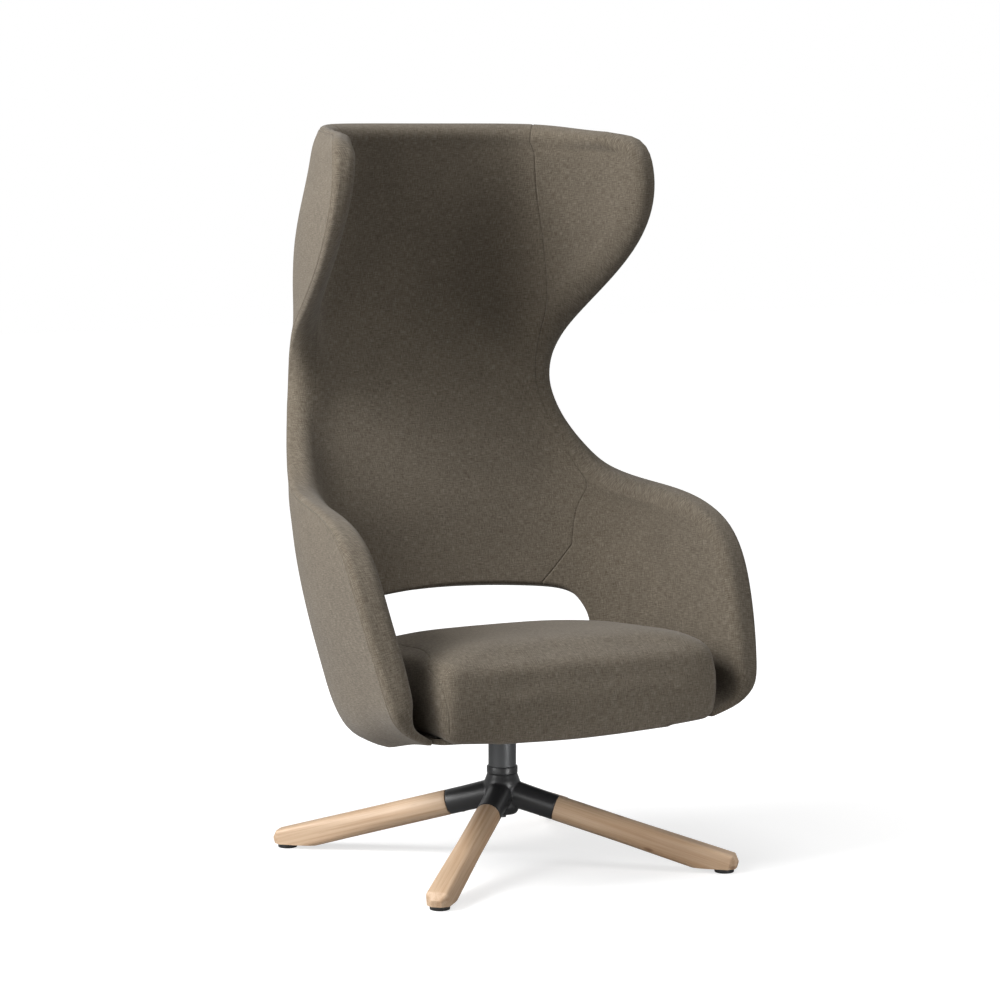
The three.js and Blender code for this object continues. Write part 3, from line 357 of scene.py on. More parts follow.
slot = {
    "halfWidth": 303.0, "bottom": 346.0, "height": 134.0, "plane": 174.0, "flare": 0.78,
    "fall": 0.2, "front": 60.0,
    "shares": [
        (0, 1), (0.24, 0.98), (0.45, 0.94), (0.667, 0.88), (0.782, 0.813), (0.858, 0.724),
        (0.917, 0.597), (0.967, 0.463), (1, 0.313), (1, 0.15), (0.96, 0.045), (0.87, 0), (0, 0),
    ],
}


def slotOutline():
    # The slot's outline on its own plane, smoothed, clockwise from the top's middle
    half = np.array(slot["shares"], float)
    line = np.concatenate([half, half[-2:0:-1] * (-1, 1)]) * (slot["halfWidth"], slot["height"])
    for _ in range(4):
        after = np.roll(line, -1, axis=0)
        line = np.stack([line * 0.75 + after * 0.25, line * 0.25 + after * 0.75], 1).reshape(-1, 2)
    return line


def grownOutline(line, reach):
    along = unit(np.roll(line, -1, axis=0) - np.roll(line, 1, axis=0))
    return line + np.stack([-along[:, 1], along[:, 0]], 1) * reach


def slotAt(line, depth):
    back = depth - slot["plane"]
    spread = 1 + slot["flare"] * back / slot["halfWidth"]
    height = slot["bottom"] + line[:, 1] - slot["fall"] * back
    return np.stack([line[:, 0] * spread, np.full(len(line), depth), height], 1)


def slotOnFace(line, inwards):
    # Where the slot's straight walls meet a face: (across, along) of each point of the outline
    near = slotAt(line, slot["front"])
    ray = slotAt(line, shell["reach"]) - near
    across = line[:, 0] / slot["halfWidth"] * 0.45
    along = 0.9 - line[:, 1] / slot["height"] * 0.12
    share = np.full(len(line), 0.4)
    step = 1e-4
    for _ in range(14):  # Newton's steps, from a guess near the slot
        here = shellPoint(across, along, inwards)
        miss = here - (near + share[:, None] * ray)
        sideways = (shellPoint(across + step, along, inwards) - here) / step
        downwards = (shellPoint(across, along + step, inwards) - here) / step
        move = np.linalg.solve(np.stack([sideways, downwards, -ray], 2), -miss[:, :, None])[:, :, 0]
        across = across + np.clip(move[:, 0], -0.1, 0.1)
        along = along + np.clip(move[:, 1], -0.05, 0.05)
        share = share + move[:, 2]
    return np.stack([across, along], 1)


def rimSection(thickness):
    # The padded rim's section from the outer to the inner face: stations, (offset, depth), seam
    reach = min(upholstery["rimReach"], thickness / 2)
    outer = min(upholstery["outerCorner"], thickness * 0.3, reach)
    inner = min(upholstery["innerCorner"], thickness * 0.5)
    power = 2 / upholstery["innerFullness"]
    turn = np.linspace(0, math.pi / 2, 40)
    line = np.concatenate([
        [[0, 0]],
        np.stack([reach - outer + outer * np.sin(turn), outer * (1 - np.cos(turn))], 1),
        np.stack([reach * np.cos(turn) ** power,
                  thickness - inner + inner * np.sin(turn) ** power], 1),
    ])
    length = runLength(line)
    seam = reach - outer + upholstery["rimSeamPlace"] * outer * math.pi / 2
    fine = np.array(upholstery["rimSteps"]) * min(1, outer / upholstery["outerCorner"])
    places = np.concatenate([[0.5 * max(seam + fine[0], 0)], seam + fine,
                             np.linspace(seam + fine[-1], length[-1], 18)[1:-1]])
    section = np.stack([np.interp(places, length, line[:, k]) for k in (0, 1)], 1)
    return places, section, places - seam


rimSeamStep = 4  # index of the seam in rimSection's places


def easedEdge(inner, outer):
    # The inner face falls away a little towards the rim of the wings, less towards the arms'
    ends = inner[:, [0, -1]]
    gap = np.minimum(np.linalg.norm(inner - ends[:, :1], axis=2),
                     np.linalg.norm(inner - ends[:, 1:], axis=2))
    share = np.clip(1 - gap / upholstery["edgeEaseReach"], 0, 1) ** 2
    wing = np.interp(rowLines, *upholstery["edgeEaseRows"])[:, None]
    fall = upholstery["edgeEase"] * share * wing
    return inner + unit(outer - inner) * fall[:, :, None]


# One closed skin of the padded shell. Each point has its place, its distance to the nearest
# seam, cloth coordinates and the depth the padding may have; each face has its panel's label.
skin = {"points": [], "seamGap": [], "cloth": [], "room": [], "quads": [], "labels": []}
gridAcross = acrossLines(rowLines)
gridAlong = np.repeat(rowLines[:, None], columns, 1)
slotTop, slotFoot = (int(np.abs(rowLines - v).argmin()) for v in upholstery["slotRows"])
slotHalf = seamColumn + int(np.abs(wingShares - upholstery["slotColumn"]).argmin()) + 1
slotLeft, slotRight = halfColumns - slotHalf, halfColumns + slotHalf
seamLines = (halfColumns - seamColumn, halfColumns + seamColumn)
slotRow = 0.85  # a row through the slot
noSeam = 99.0  # distance given where no seam is near
clothRows, clothColumns = 60, 80  # of the tables of cloth coordinates


def clothTable(face):
    # Lengths over a face: sideways from the middle in each row, and down the middle
    middle = clothColumns // 2
    grid = shellPoint(np.linspace(-1, 1, clothColumns + 1)[None, :],
                      np.linspace(0, 1, clothRows + 1)[:, None], face)
    side = np.stack([runLength(row) for row in grid])
    return side - side[:, middle:middle + 1], runLength(grid[:, middle])


clothTables = [clothTable(0), clothTable(1)]


def clothOf(face, across, along):
    # Cloth coordinates in millimetres; the inner face's lie apart from the outer's
    side, down = clothTables[face]
    row = np.clip(along * clothRows, 0, clothRows - 0.001)
    column = np.clip((across + 1) * clothColumns / 2, 0, clothColumns - 0.001)
    low, near = row.astype(int), column.astype(int)
    part, share = row - low, column - near
    above, below = (side[k, near] * (1 - share) + side[k, near + 1] * share for k in (low, low + 1))
    fall = np.interp(along, np.linspace(0, 1, clothRows + 1), down)
    return np.stack([above * (1 - part) + below * part, fall + 2000 * face], 1)


def addPoints(places, gaps, fabric, rooms):
    start = len(skin["points"])
    skin["points"].extend(np.reshape(places, (-1, 3)))
    skin["seamGap"].extend(np.ravel(gaps))
    skin["cloth"].extend(np.reshape(fabric, (-1, 2)))
    skin["room"].extend(np.broadcast_to(rooms, len(skin["points"]) - start))
    return start


def addFace(loop, label):
    skin["quads"].append(tuple(loop))
    skin["labels"].append(label)


def panelAt(column, along):
    # Name of the inner panel at a column counted from the middle
    if abs(column) < seamColumn or wingEnd < along < armStart:
        return "back"
    return ("wing" if along <= wingEnd else "arm") + ("Left" if column < 0 else "Right")


def layFaces():
    # The outer and inner face, as grids of places and of point numbers
    outer, inner = (shellPoint(gridAcross, gridAlong, face) for face in (0, 1))
    thick = np.linalg.norm(inner - outer, axis=2)
    keep = np.ones((rows, columns), bool)
    keep[slotTop + 1:slotFoot, slotLeft + 1:slotRight] = False
    # The seams fade out between the wings and the arms
    fade = 0.05
    gate = (1 - np.clip((rowLines - (wingEnd - fade)) / fade, 0, 1)
            + np.clip((rowLines - armStart) / fade, 0, 1))
    grids, tables = [outer, easedEdge(inner, outer)], []
    for face, grid in enumerate(grids):
        gaps = np.full((rows, columns), noSeam)
        for seam in seamLines if face else ():
            reach = np.linalg.norm(grid - grid[:, seam:seam + 1], axis=2)
            gaps = np.minimum(gaps, reach / np.maximum(gate, 1e-3)[:, None])
        start = addPoints(grid[keep], gaps[keep], clothOf(face, gridAcross[keep], gridAlong[keep]),
                          thick[keep] * upholstery["padShare"][face])
        table = np.full((rows, columns), -1)
        table[keep] = start + np.arange(keep.sum())
        tables.append(table)
    for j in range(rows - 1):
        for i in range(columns - 1):
            if slotTop <= j < slotFoot and slotLeft <= i < slotRight:
                continue
            outside, inside = ([t[j, i], t[j, i + 1], t[j + 1, i + 1], t[j + 1, i]] for t in tables)
            addFace(outside, "cover")
            middle = (rowLines[j] + rowLines[j + 1]) / 2
            addFace(inside[:1] + inside[:0:-1], panelAt(i + 0.5 - halfColumns, middle))
    return grids, tables


def outOf(grid, j, i, dj, di):
    # The way out over an edge of a face, square to the edge
    way = grid[j, i] - grid[j - dj, i - di]
    if dj:
        edge = unit(grid[j, min(i + 1, columns - 1)] - grid[j, max(i - 1, 0)])
    else:
        edge = unit(grid[min(j + 1, rows - 1), i] - grid[max(j - 1, 0), i])
    return unit(way - edge * way.dot(edge))


def edgeEntries(grids):
    # One entry for each grid point on the edge, and a fan of entries at each corner
    last, foot = columns - 1, rows - 1
    leftUpRightDown = [(0, -1), (-1, 0), (0, 1), (1, 0)]
    fans = [(0, 0, "wingLeft"), (0, last, "wingRight"), (foot, last, "armRight"),
            (foot, 0, "armLeft")]
    sides = [[(0, i) for i in range(1, last)], [(j, last) for j in range(1, foot)],
             [(foot, i) for i in range(last - 1, 0, -1)], [(j, 0) for j in range(foot - 1, 0, -1)]]
    entries = []

    def add(j, i, ways, turn, panel):
        shares = [(math.cos(turn), ways[0]), (math.sin(turn), ways[-1])][:len(ways)]
        out = [unit(sum(share * outOf(grid, j, i, *way) for share, way in shares))
               for grid in grids]
        spread = [sum(share * way[k] for share, way in shares) for k in (1, 0)]
        entries.append((j, i, out, spread, panel))

    for k, (cornerRow, cornerColumn, panel) in enumerate(fans):
        ways = [leftUpRightDown[k], leftUpRightDown[(k + 1) % 4]]
        for step in range(upholstery["cornerSteps"] + 1):
            turn = math.pi / 2 * step / upholstery["cornerSteps"]
            add(cornerRow, cornerColumn, ways, turn, panel)
        for j, i in sides[k]:
            add(j, i, ways[1:], 0, None)
    return entries


def rimSpots(grids, j, i, ways, section, share):
    way = unit(ways[0] * (1 - share) + ways[1] * share)
    return grids[0][j, i] * (1 - share) + grids[1][j, i] * share + way * section[:, :1]


def layRim(grids, tables):
    # Rings over the rim, from the outer to the inner face
    entries = edgeEntries(grids)
    rings = []
    for j, i, ways, spread, _ in entries:
        thickness = float(np.linalg.norm(grids[1][j, i] - grids[0][j, i]))
        places, section, gaps = rimSection(thickness)
        share = (section[:, 1] / thickness)[:, None]
        spots = rimSpots(grids, j, i, ways, section, share)
        step = np.arange(len(gaps))
        gaps = np.abs(gaps)
        if j in (0, rows - 1):
            # The seam's own way over the rim at the top and at the foot
            for seam in seamLines:
                out = [outOf(grid, j, seam, -1 if j == 0 else 1, 0) for grid in grids]
                line = rimSpots(grids, j, seam, out, section, share)
                reach = np.linalg.norm(spots - line, axis=1)
                gaps = np.where(step > rimSeamStep, np.minimum(gaps, reach), gaps)
        outside, inside = (clothOf(face, gridAcross[j:j + 1, i], gridAlong[j:j + 1, i])[0]
                           for face in (0, 1))
        fabric = np.where((step >= rimSeamStep)[:, None],
                          inside + np.outer(places[-1] + 3.0 - places, spread),
                          outside + np.outer(places, spread))
        start = addPoints(spots, gaps, fabric, min(0.2 * thickness, 5.0))
        rings.append([tables[0][j, i], *range(start, start + len(places)), tables[1][j, i]])
    for k, here in enumerate(rings):
        after = (k + 1) % len(rings)
        there = rings[after]
        j, i, _, _, panel = entries[k]
        nextRow, nextColumn, _, _, nextPanel = entries[after]
        panel = panel or nextPanel or panelAt((i + nextColumn) / 2 - halfColumns,
                                              (rowLines[j] + rowLines[nextRow]) / 2)
        for n in range(len(here) - 1):
            loop = [here[n], there[n], there[n + 1], here[n + 1]]
            loop = [p for q, p in enumerate(loop) if p != loop[q - 1]]
            if len(loop) > 2:
                addFace(loop[::-1], "cover" if n <= rimSeamStep else panel)


def laySlot(tables):
    # Loops from the grid's hole to the slot's edge, then round the lip into the wall
    outline = slotOutline()
    count = len(outline)
    lip = upholstery["slotLip"]
    border = np.array([(slotTop, i) for i in range(slotLeft, slotRight)]
                      + [(j, slotRight) for j in range(slotTop, slotFoot)]
                      + [(slotFoot, i) for i in range(slotRight, slotLeft, -1)]
                      + [(j, slotLeft) for j in range(slotFoot, slotTop, -1)])
    borderPlaces = np.stack([grid[tuple(border.T)] for grid in (gridAcross, gridAlong)], 1)
    grown = grownOutline(outline, lip)
    edges = [slotOnFace(grown, face) for face in (0, 1)]

    def angleOf(places):
        low, high = places.min(0), places.max(0)
        up = places[:, 1] - (high[1] + low[1]) / 2
        return np.arctan2(places[:, 0] / high[0], -up / ((high[1] - low[1]) / 2))

    lapped = np.unwrap(angleOf(edges[1])) + 2 * math.pi * np.array([[-1], [0], [1]])
    laps = np.arange(-count, 2 * count)
    stations = np.interp(angleOf(borderPlaces), lapped.ravel(), laps) % count

    def onLoop(values):
        low = np.floor(stations).astype(int)
        part = (stations - low)[:, None]
        return values[low % count] * (1 - part) + values[(low + 1) % count] * part

    middles = (border[:, 1] + np.roll(border[:, 1], -1)) / 2 - halfColumns
    panels = [panelAt(middle, slotRow) for middle in middles]
    spokes = [k for k, column in enumerate(border[:, 1]) if column in seamLines]

    def layLoop(face, previous, spots, fabric, rooms, sewn=True):
        gaps = np.full(len(spots), noSeam)
        for spoke in spokes if face and sewn else ():
            gaps = np.minimum(gaps, np.linalg.norm(spots - spots[spoke], axis=1))
        current = addPoints(spots, gaps, fabric, rooms) + np.arange(len(spots))
        for k, panel in enumerate(panels):
            after = (k + 1) % len(panels)
            addFace((previous[k], previous[after], current[after], current[k]),
                    panel if face else "cover")
        return current

    wallWay = unit(onLoop(slotAt(outline, shell["reach"])) - onLoop(slotAt(outline, slot["front"])))
    shares = np.linspace(0, 1, upholstery["slotRings"] + 1)[1:]
    shares = 1 - (1 - shares) ** upholstery["slotCloseness"]
    ends = []
    for face in (0, 1):
        edge, line = onLoop(edges[face]), onLoop(slotOnFace(outline, face))
        current = tables[face][tuple(border.T)]
        for share in shares:
            where = (borderPlaces * (1 - share) + edge * share).T
            current = layLoop(face, current, shellPoint(*where, face), clothOf(face, *where),
                              upholstery["slotRoom"][face])
        start, end = (shellPoint(*spot.T, face) for spot in (edge, line))
        first, onward = clothOf(face, *edge.T), clothOf(face, *line.T)
        onward = unit(onward - first + 1e-9)
        for turn in np.linspace(0, math.pi / 2, 7)[1:]:
            deep = wallWay * (lip if face else -lip) * (1 - math.cos(turn))
            spots = start + (end - start) * math.sin(turn) + deep
            fabric = first + onward * lip * turn
            current = layLoop(face, current, spots, fabric, upholstery["lipRoom"])
        ends.append((current, spots, fabric, onward))
    # Wall: each side's cloth runs to the middle on its own coordinates
    gap = ends[1][1] - ends[0][1]
    halfway = ends[0][1] + gap / 2
    for face, (current, _, fabric, onward) in enumerate(ends):
        wall = onward * np.linalg.norm(gap, axis=1)[:, None] / 2
        layLoop(face, current, halfway, fabric + wall, upholstery["lipRoom"], sewn=False)


def toFrame(points):
    # Millimetres round the column's axis to metres in the model's frame
    return np.asarray(points) / 1000 + (0, axisY, 0)


def skinNormals(points, quads):
    work = bmesh.new()
    verts = [work.verts.new(p) for p in points]
    faces = [work.faces.new([verts[int(k)] for k in quad]) for quad in quads]
    bmesh.ops.recalc_face_normals(work, faces=work.faces)
    work.normal_update()
    normals = np.array([v.normal[:] for v in verts])
    work.verts.index_update()
    loops = [[v.index for v in face.verts] for face in faces]
    work.free()
    return normals, loops


def padFromSkin(name, points, normals, cloth, depth, loops):
    # A closed pad: a part of the skin, its back at depth, and walls between them
    used = sorted({k for loop in loops for k in loop})
    place = {k: n for n, k in enumerate(used)}
    count = len(used)
    front = points[used]
    both = np.concatenate([front, front - normals[used] * depth[used][:, None]])
    faces = [[place[k] for k in loop] for loop in loops]
    edges = dict.fromkeys(pair for face in faces for pair in zip(face, face[1:] + face[:1]))
    walls = [(b, a, a + count, b + count) for a, b in edges if (b, a) not in edges]
    backs = [[k + count for k in face[::-1]] for face in faces]
    piece = newPiece(name, toFrame(both), faces + backs + walls)
    layClothCoordinates(piece, both, np.concatenate([cloth[used]] * 2) / 1000)
    return piece


def layClothCoordinates(piece, places, fabric):
    # UVs in metres of cloth, one pair for each point
    mesh = piece.data
    layer = mesh.uv_layers.new(name="cloth")
    order = np.arange(len(places))
    if len(mesh.vertices) != len(places):
        tree = spotTree(toFrame(places))
        order = np.array([tree.find(v.co)[1] for v in mesh.vertices])
    loops = np.empty(len(mesh.loops), dtype=np.int64)
    mesh.loops.foreach_get("vertex_index", loops)
    layer.data.foreach_set("uv", fabric[order[loops]].ravel())


def spotTree(spots):
    tree = KDTree(len(spots))
    for k, spot in enumerate(spots):
        tree.insert(spot, k)
    tree.balance()
    return tree


panelNames = {
    "cover": ("shell_cover", ["outer_shell"]),
    "back": ("back_panel", ["back_pad"]),
    "wingLeft": ("wing_panel_left", ["wing_pad_left"]),
    "wingRight": ("wing_panel_right", ["wing_pad_right"]),
    "armLeft": ("arm_panel_left", ["arm_pad_left"]),
    "armRight": ("arm_panel_right", ["arm_pad_right"]),
}

flank = {
    "depth": 20.0, "rise": (-80, 20), "fall": (80, 200), "aside": (235, 290), "low": (-400, -290),
}


def liftTips(points):
    # The arms' front tips rise to meet the cushion's lower edge
    forward = easeStep(-points[:, 1], upholstery["tipStart"], upholstery["tipEnd"])
    low = easeStep(-points[:, 2], -upholstery["tipTop"], -upholstery["tipBottom"])
    points[:, 2] += upholstery["tipLift"] * forward * low
    return points


def fillFlanks(points):
    # The shell's foot hangs fuller under the arms
    forward = -points[:, 1]
    along = easeStep(forward, *flank["rise"]) * (1 - easeStep(forward, *flank["fall"]))
    aside = easeStep(np.abs(points[:, 0]), *flank["aside"])
    low = easeStep(-points[:, 2], *flank["low"])
    points[:, 2] -= flank["depth"] * along * aside * low
    return points


def makeUpholstery():
    grids, tables = layFaces()
    layRim(grids, tables)
    laySlot(tables)
    points, seamGap, cloth, room = (
        np.array(skin[key]) for key in ("points", "seamGap", "cloth", "room"))
    points = fillFlanks(liftTips(points))
    normals, loops = skinNormals(points, skin["quads"])
    dip = upholstery["seamDepth"] * np.exp(-(seamGap / upholstery["seamWidth"]) ** 2)
    points = points - normals * dip[:, None]
    pieces = {}
    for label, (name, replaced) in panelNames.items():
        limit = upholstery["coverDepth" if label == "cover" else "linerDepth"]
        own = [loop for loop, tag in zip(loops, skin["labels"]) if tag == label]
        piece = padFromSkin(name, points, normals, cloth, np.minimum(room, limit), own)
        sharpenEdges(piece, 60)
        pieces[label] = piece
        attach(piece, "seat")
        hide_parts(*replaced)
    print("upholstery:", sum(len(p.data.polygons) for p in pieces.values()), "faces")
    return pieces


# Seat cushion: a sewn cover over foam, blown up by a cloth simulation

cushion = {
    "halfWidth": 284.0, "front": 298.0, "rear": 112.0, "bottom": 285.3, "height": 138.0,
    "crown": 19.0, "crownFullness": 3.4, "drawIn": 4.0, "topRadius": 25.0, "bottomRadius": 12.0,
    "rollStart": 185.0, "rollDrop": 15.0, "frontRadius": 30.0, "rearRadius": 155.0, "bow": 6.0,
    "sideSteps": (26, 34, 26, 84), "drop": 17.0, "lean": 26.0, "shrink": 3.0, "voxel": 0.0075,
    "rollHeight": 50.0, "skirt": 24.0, "skirtRise": 16.0, "skirtFront": 262.0, "skirtEnd": 272.0,
    "skirtHeight": 60.0, "arcStep": 6.5, "hold": 5.0, "smooth": 10,
    "seamDepth": 0.0010, "seamWidth": 0.0014, "seamReaches": (0.009, 0.0055), "seamSpots": 300,
    "pressure": 4.0, "cap": 0.004, "frames": 16, "quality": 5,
    "mass": 0.3, "stretch": 25, "shear": 15, "bend": 6,
}
# The seam between the top and the side panel, from the rear over the top and down the front
cushionSeam = [
    (-150, 140, 330), (-172, 128, 372), (-196, 100, 398), (-216, 50, 402), (-228, 0, 402),
    (-232, -45, 401), (-230, -78, 401), (-231, -114, 401), (-239, -166, 398), (-255, -220, 393),
    (-266, -252, 386), (-273, -272, 373), (-274, -283, 356), (-271, -290, 322), (-268, -286, 298),
]


def padLine(pad, drawnIn, height):
    # Four corner arcs joined by bowed sides, from the right front corner on
    share = min(height / pad["height"], 1)
    half = pad["halfWidth"] - drawnIn
    front = drawnIn - pad["front"]
    rear = pad["rear"] + pad["lean"] * share - drawnIn
    arcs = []
    for k, (side, end) in enumerate(((1, front), (1, rear), (-1, rear), (-1, front))):
        radius = pad["frontRadius" if end == front else "rearRadius"]
        middle = (side * (half - radius), front + radius if end == front else rear - radius)
        steps = max(8, int(radius * math.pi / 2 / pad["arcStep"]))
        turn = math.pi / 2 * (k - 1 + np.arange(steps + 1) / steps)
        arcs.append(middle + radius * np.stack([np.cos(turn), np.sin(turn)], 1))
    line = []
    for k, count in enumerate(pad["sideSteps"]):
        start, end = arcs[k][-1], arcs[(k + 1) % 4][0]
        out = np.array([math.cos(math.pi / 2 * k), math.sin(math.pi / 2 * k)])
        s = np.arange(1, count)[:, None] / count
        line += [arcs[k], start + (end - start) * s + pad["bow"] * (1 - (2 * s - 1) ** 2) * out]
    line = np.concatenate(line)
    fall = pad["drop"] * (line[:, 1] - front) / (rear - front) * share
    return np.column_stack([line, pad["bottom"] + height - fall])


def cushionForm():
    c = cushion
    rings = []
    edge = c["shrink"] + c["drawIn"]
    for turn in np.linspace(0, math.pi / 2, 7):
        rings.append(padLine(c, edge + c["bottomRadius"] * (1 - math.sin(turn)),
                             c["shrink"] / 2 + c["bottomRadius"] * (1 - math.cos(turn))))
    lowTop = c["height"] - c["topRadius"]
    for share in np.arange(1, 9) / 9:
        height = c["bottomRadius"] + (lowTop - c["bottomRadius"]) * share
        rings.append(padLine(c, c["shrink"] + c["drawIn"] * (2 * share - 1) ** 2, height))
    for share in np.arange(10) / 9:
        turn = math.pi / 2 * share
        rings.append(padLine(c, edge + c["topRadius"] * (1 - math.cos(turn)),
                             lowTop + c["topRadius"] * math.sin(turn) - c["shrink"] / 2 * share))
    top = rings[-1]
    middle = top.mean(0)
    for share in 1 - np.arange(1, 30) / 30:
        ring = middle + (top - middle) * share
        ring[:, 2] += (c["crown"] - c["shrink"]) * (1 - share ** c["crownFullness"])
        rings.append(ring)
    points = np.concatenate(rings)
    # A softer roll along the top of the front, and a lower edge that hangs over the pan's
    forward = -points[:, 1]
    high = np.clip((points[:, 2] - c["bottom"]) / c["rollHeight"] - 1, 0, 1)
    roll = np.clip((forward - c["rollStart"]) / (c["front"] - c["rollStart"]), 0, 1)
    points[:, 2] -= c["rollDrop"] * high * roll ** 2
    low = np.clip(1 - (points[:, 2] - c["bottom"]) / c["skirtHeight"], 0, 1)
    depth = c["skirt"] - c["skirtRise"] * (points[:, 0] / c["halfWidth"]) ** 2
    points[:, 2] -= depth * low * easeStep(forward, c["skirtFront"], c["skirtEnd"])
    return newPiece("seat_cushion_cover", toFrame(points), ringFaces(len(rings), len(top)))


def blowUp(piece, c, holdBelow):
    # Cloth simulation with pressure; points under holdBelow stay where the pad rests
    mesh = piece.data
    start = np.array([v.co[:] for v in mesh.vertices])
    group = piece.vertex_groups.new(name="rest")
    group.add([k for k, p in enumerate(start) if p[2] < holdBelow], 1.0, "REPLACE")
    cloth = piece.modifiers.new("cloth", "CLOTH")
    setAll(cloth.settings, quality=c["quality"], mass=c["mass"], tension_stiffness=c["stretch"],
           compression_stiffness=c["stretch"], shear_stiffness=c["shear"],
           bending_stiffness=c["bend"], use_pressure=True,
           uniform_pressure_force=c["pressure"], vertex_group_mass="rest")
    cloth.settings.effector_weights.gravity = 0
    cloth.collision_settings.use_collision = False
    setAll(cloth.point_cache, frame_start=1, frame_end=c["frames"])
    for step in range(1, c["frames"] + 1):
        scene.frame_set(step)
    graph = bpy.context.evaluated_depsgraph_get()
    blown = piece.evaluated_get(graph).to_mesh()
    end = np.array([v.co[:] for v in blown.vertices])
    piece.evaluated_get(graph).to_mesh_clear()
    piece.modifiers.remove(cloth)
    scene.frame_set(1)
    move = end - start
    length = np.linalg.norm(move, axis=1, keepdims=True)
    capped = c["cap"] * np.tanh(length / c["cap"]) / np.maximum(length, 1e-9)
    mesh.vertices.foreach_set("co", (start + move * np.where(length > 1e-9, capped, 0)).ravel())
    mesh.update()
    print(piece.name, "swelled by", round(float(length.max()) * 1000, 1), "mm before the cap")


def seamOnForm(piece, line):
    # The seam's line, in close steps, laid on the form
    work = bmesh.new()
    work.from_mesh(piece.data)
    tree = BVHTree.FromBMesh(work)
    work.free()
    smooth = splineThrough(np.arange(len(line), dtype=float), np.array(line, float))
    places = toFrame(smooth(np.linspace(0, len(line) - 1, cushion["seamSpots"])))
    return [tree.find_nearest(Vector(p))[0] for p in places]


def sewSeam(piece, lines, depth, width):
    # Finer faces beside the seam, then a narrow furrow along it
    tree = spotTree([spot for line in lines for spot in line])
    with editing(piece.data) as work:
        for reach in cushion["seamReaches"]:
            close = [e for e in work.edges if all(tree.find(v.co)[2] < reach for v in e.verts)]
            bmesh.ops.subdivide_edges(work, edges=close, cuts=1, use_grid_fill=True, smooth=0.0)
        work.normal_update()
        moves = []
        for vert in work.verts:
            gap = tree.find(vert.co)[2]
            if gap < 4 * width:
                dip = depth * math.exp(-(gap / width) ** 2)
                moves.append((vert, vert.co - vert.normal * dip))
        for vert, place in moves:
            vert.co = place
    piece.data.shade_smooth()


def boxClothCoordinates(piece):
    # Cloth coordinates in metres, laid from the front, the side or above
    mesh = piece.data
    layer = mesh.uv_layers.new(name="cloth")
    for face in mesh.polygons:
        x, y, z = (abs(part) for part in face.normal)
        axes = (0, 1) if z >= max(x, y) else (0, 2) if y >= x else (1, 2)
        for loop in face.loop_indices:
            place = mesh.vertices[mesh.loops[loop].vertex_index].co
            layer.data[loop].uv = [place[axis] for axis in axes]


def makeCushion():
    piece = cushionForm()
    modify(piece, "REMESH", mode="VOXEL", voxel_size=cushion["voxel"], use_smooth_shade=True)
    blowUp(piece, cushion, (cushion["bottom"] + cushion["hold"]) / 1000)
    modify(piece, "SMOOTH", factor=0.5, iterations=cushion["smooth"])
    modify(piece, "SUBSURF", levels=1, render_levels=1)
    mirrored = [(-x, y, z) for x, y, z in cushionSeam]
    lines = [seamOnForm(piece, line) for line in (cushionSeam, mirrored)]
    sewSeam(piece, lines, cushion["seamDepth"], cushion["seamWidth"])
    boxClothCoordinates(piece)
    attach(piece, "seat")
    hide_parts("seat_cushion")
    print("cushion:", len(piece.data.polygons), "faces")
    return piece


# Seat pan: a board in cloth whose front underside rises towards the arms, with a felt dust cover

pan = {
    "top": 285.0, "bottom": 267.0, "front": 262.0, "frontHalf": 281.0, "frontRadius": 24.0,
    "edgeRadius": 8.0, "rise": 7.0, "riseStart": 175.0, "riseEnd": 250.0, "cover": 16.0,
    "rear": 126.0, "flatInset": 70.0, "feltRear": 90.0, "feltArea": 200.0,
}
panSide = [
    (281.5, -236), (289.5, -222), (292, -205), (292, -151), (290, -128), (286.5, -70), (282.6, -50),
    (275.5, -7), (268.8, 11), (257.5, 42), (246.6, 57), (230.6, 77.5), (214, 88.7), (193, 101.7),
    (169.5, 109), (143, 116.6), (111, 120.7), (79.5, 124), (38.7, 125.2),
]


def panLine(drawnIn):
    c = pan
    r = c["frontRadius"]
    flat = c["frontHalf"] - r
    half = [(x, -c["front"]) for x in np.linspace(0, flat, 22)]
    half += [(flat + r * math.sin(turn), r - c["front"] - r * math.cos(turn))
             for turn in np.linspace(0, math.pi / 2, 9)[1:]]
    half += panSide
    line = np.array(half + [(0, pan["rear"])] + [(-x, y) for x, y in half[:0:-1]])
    ahead = np.roll(line, -1, 0) - np.roll(line, 1, 0)
    inward = unit(np.stack([-ahead[:, 1], ahead[:, 0]], 1))
    return line + inward * drawnIn


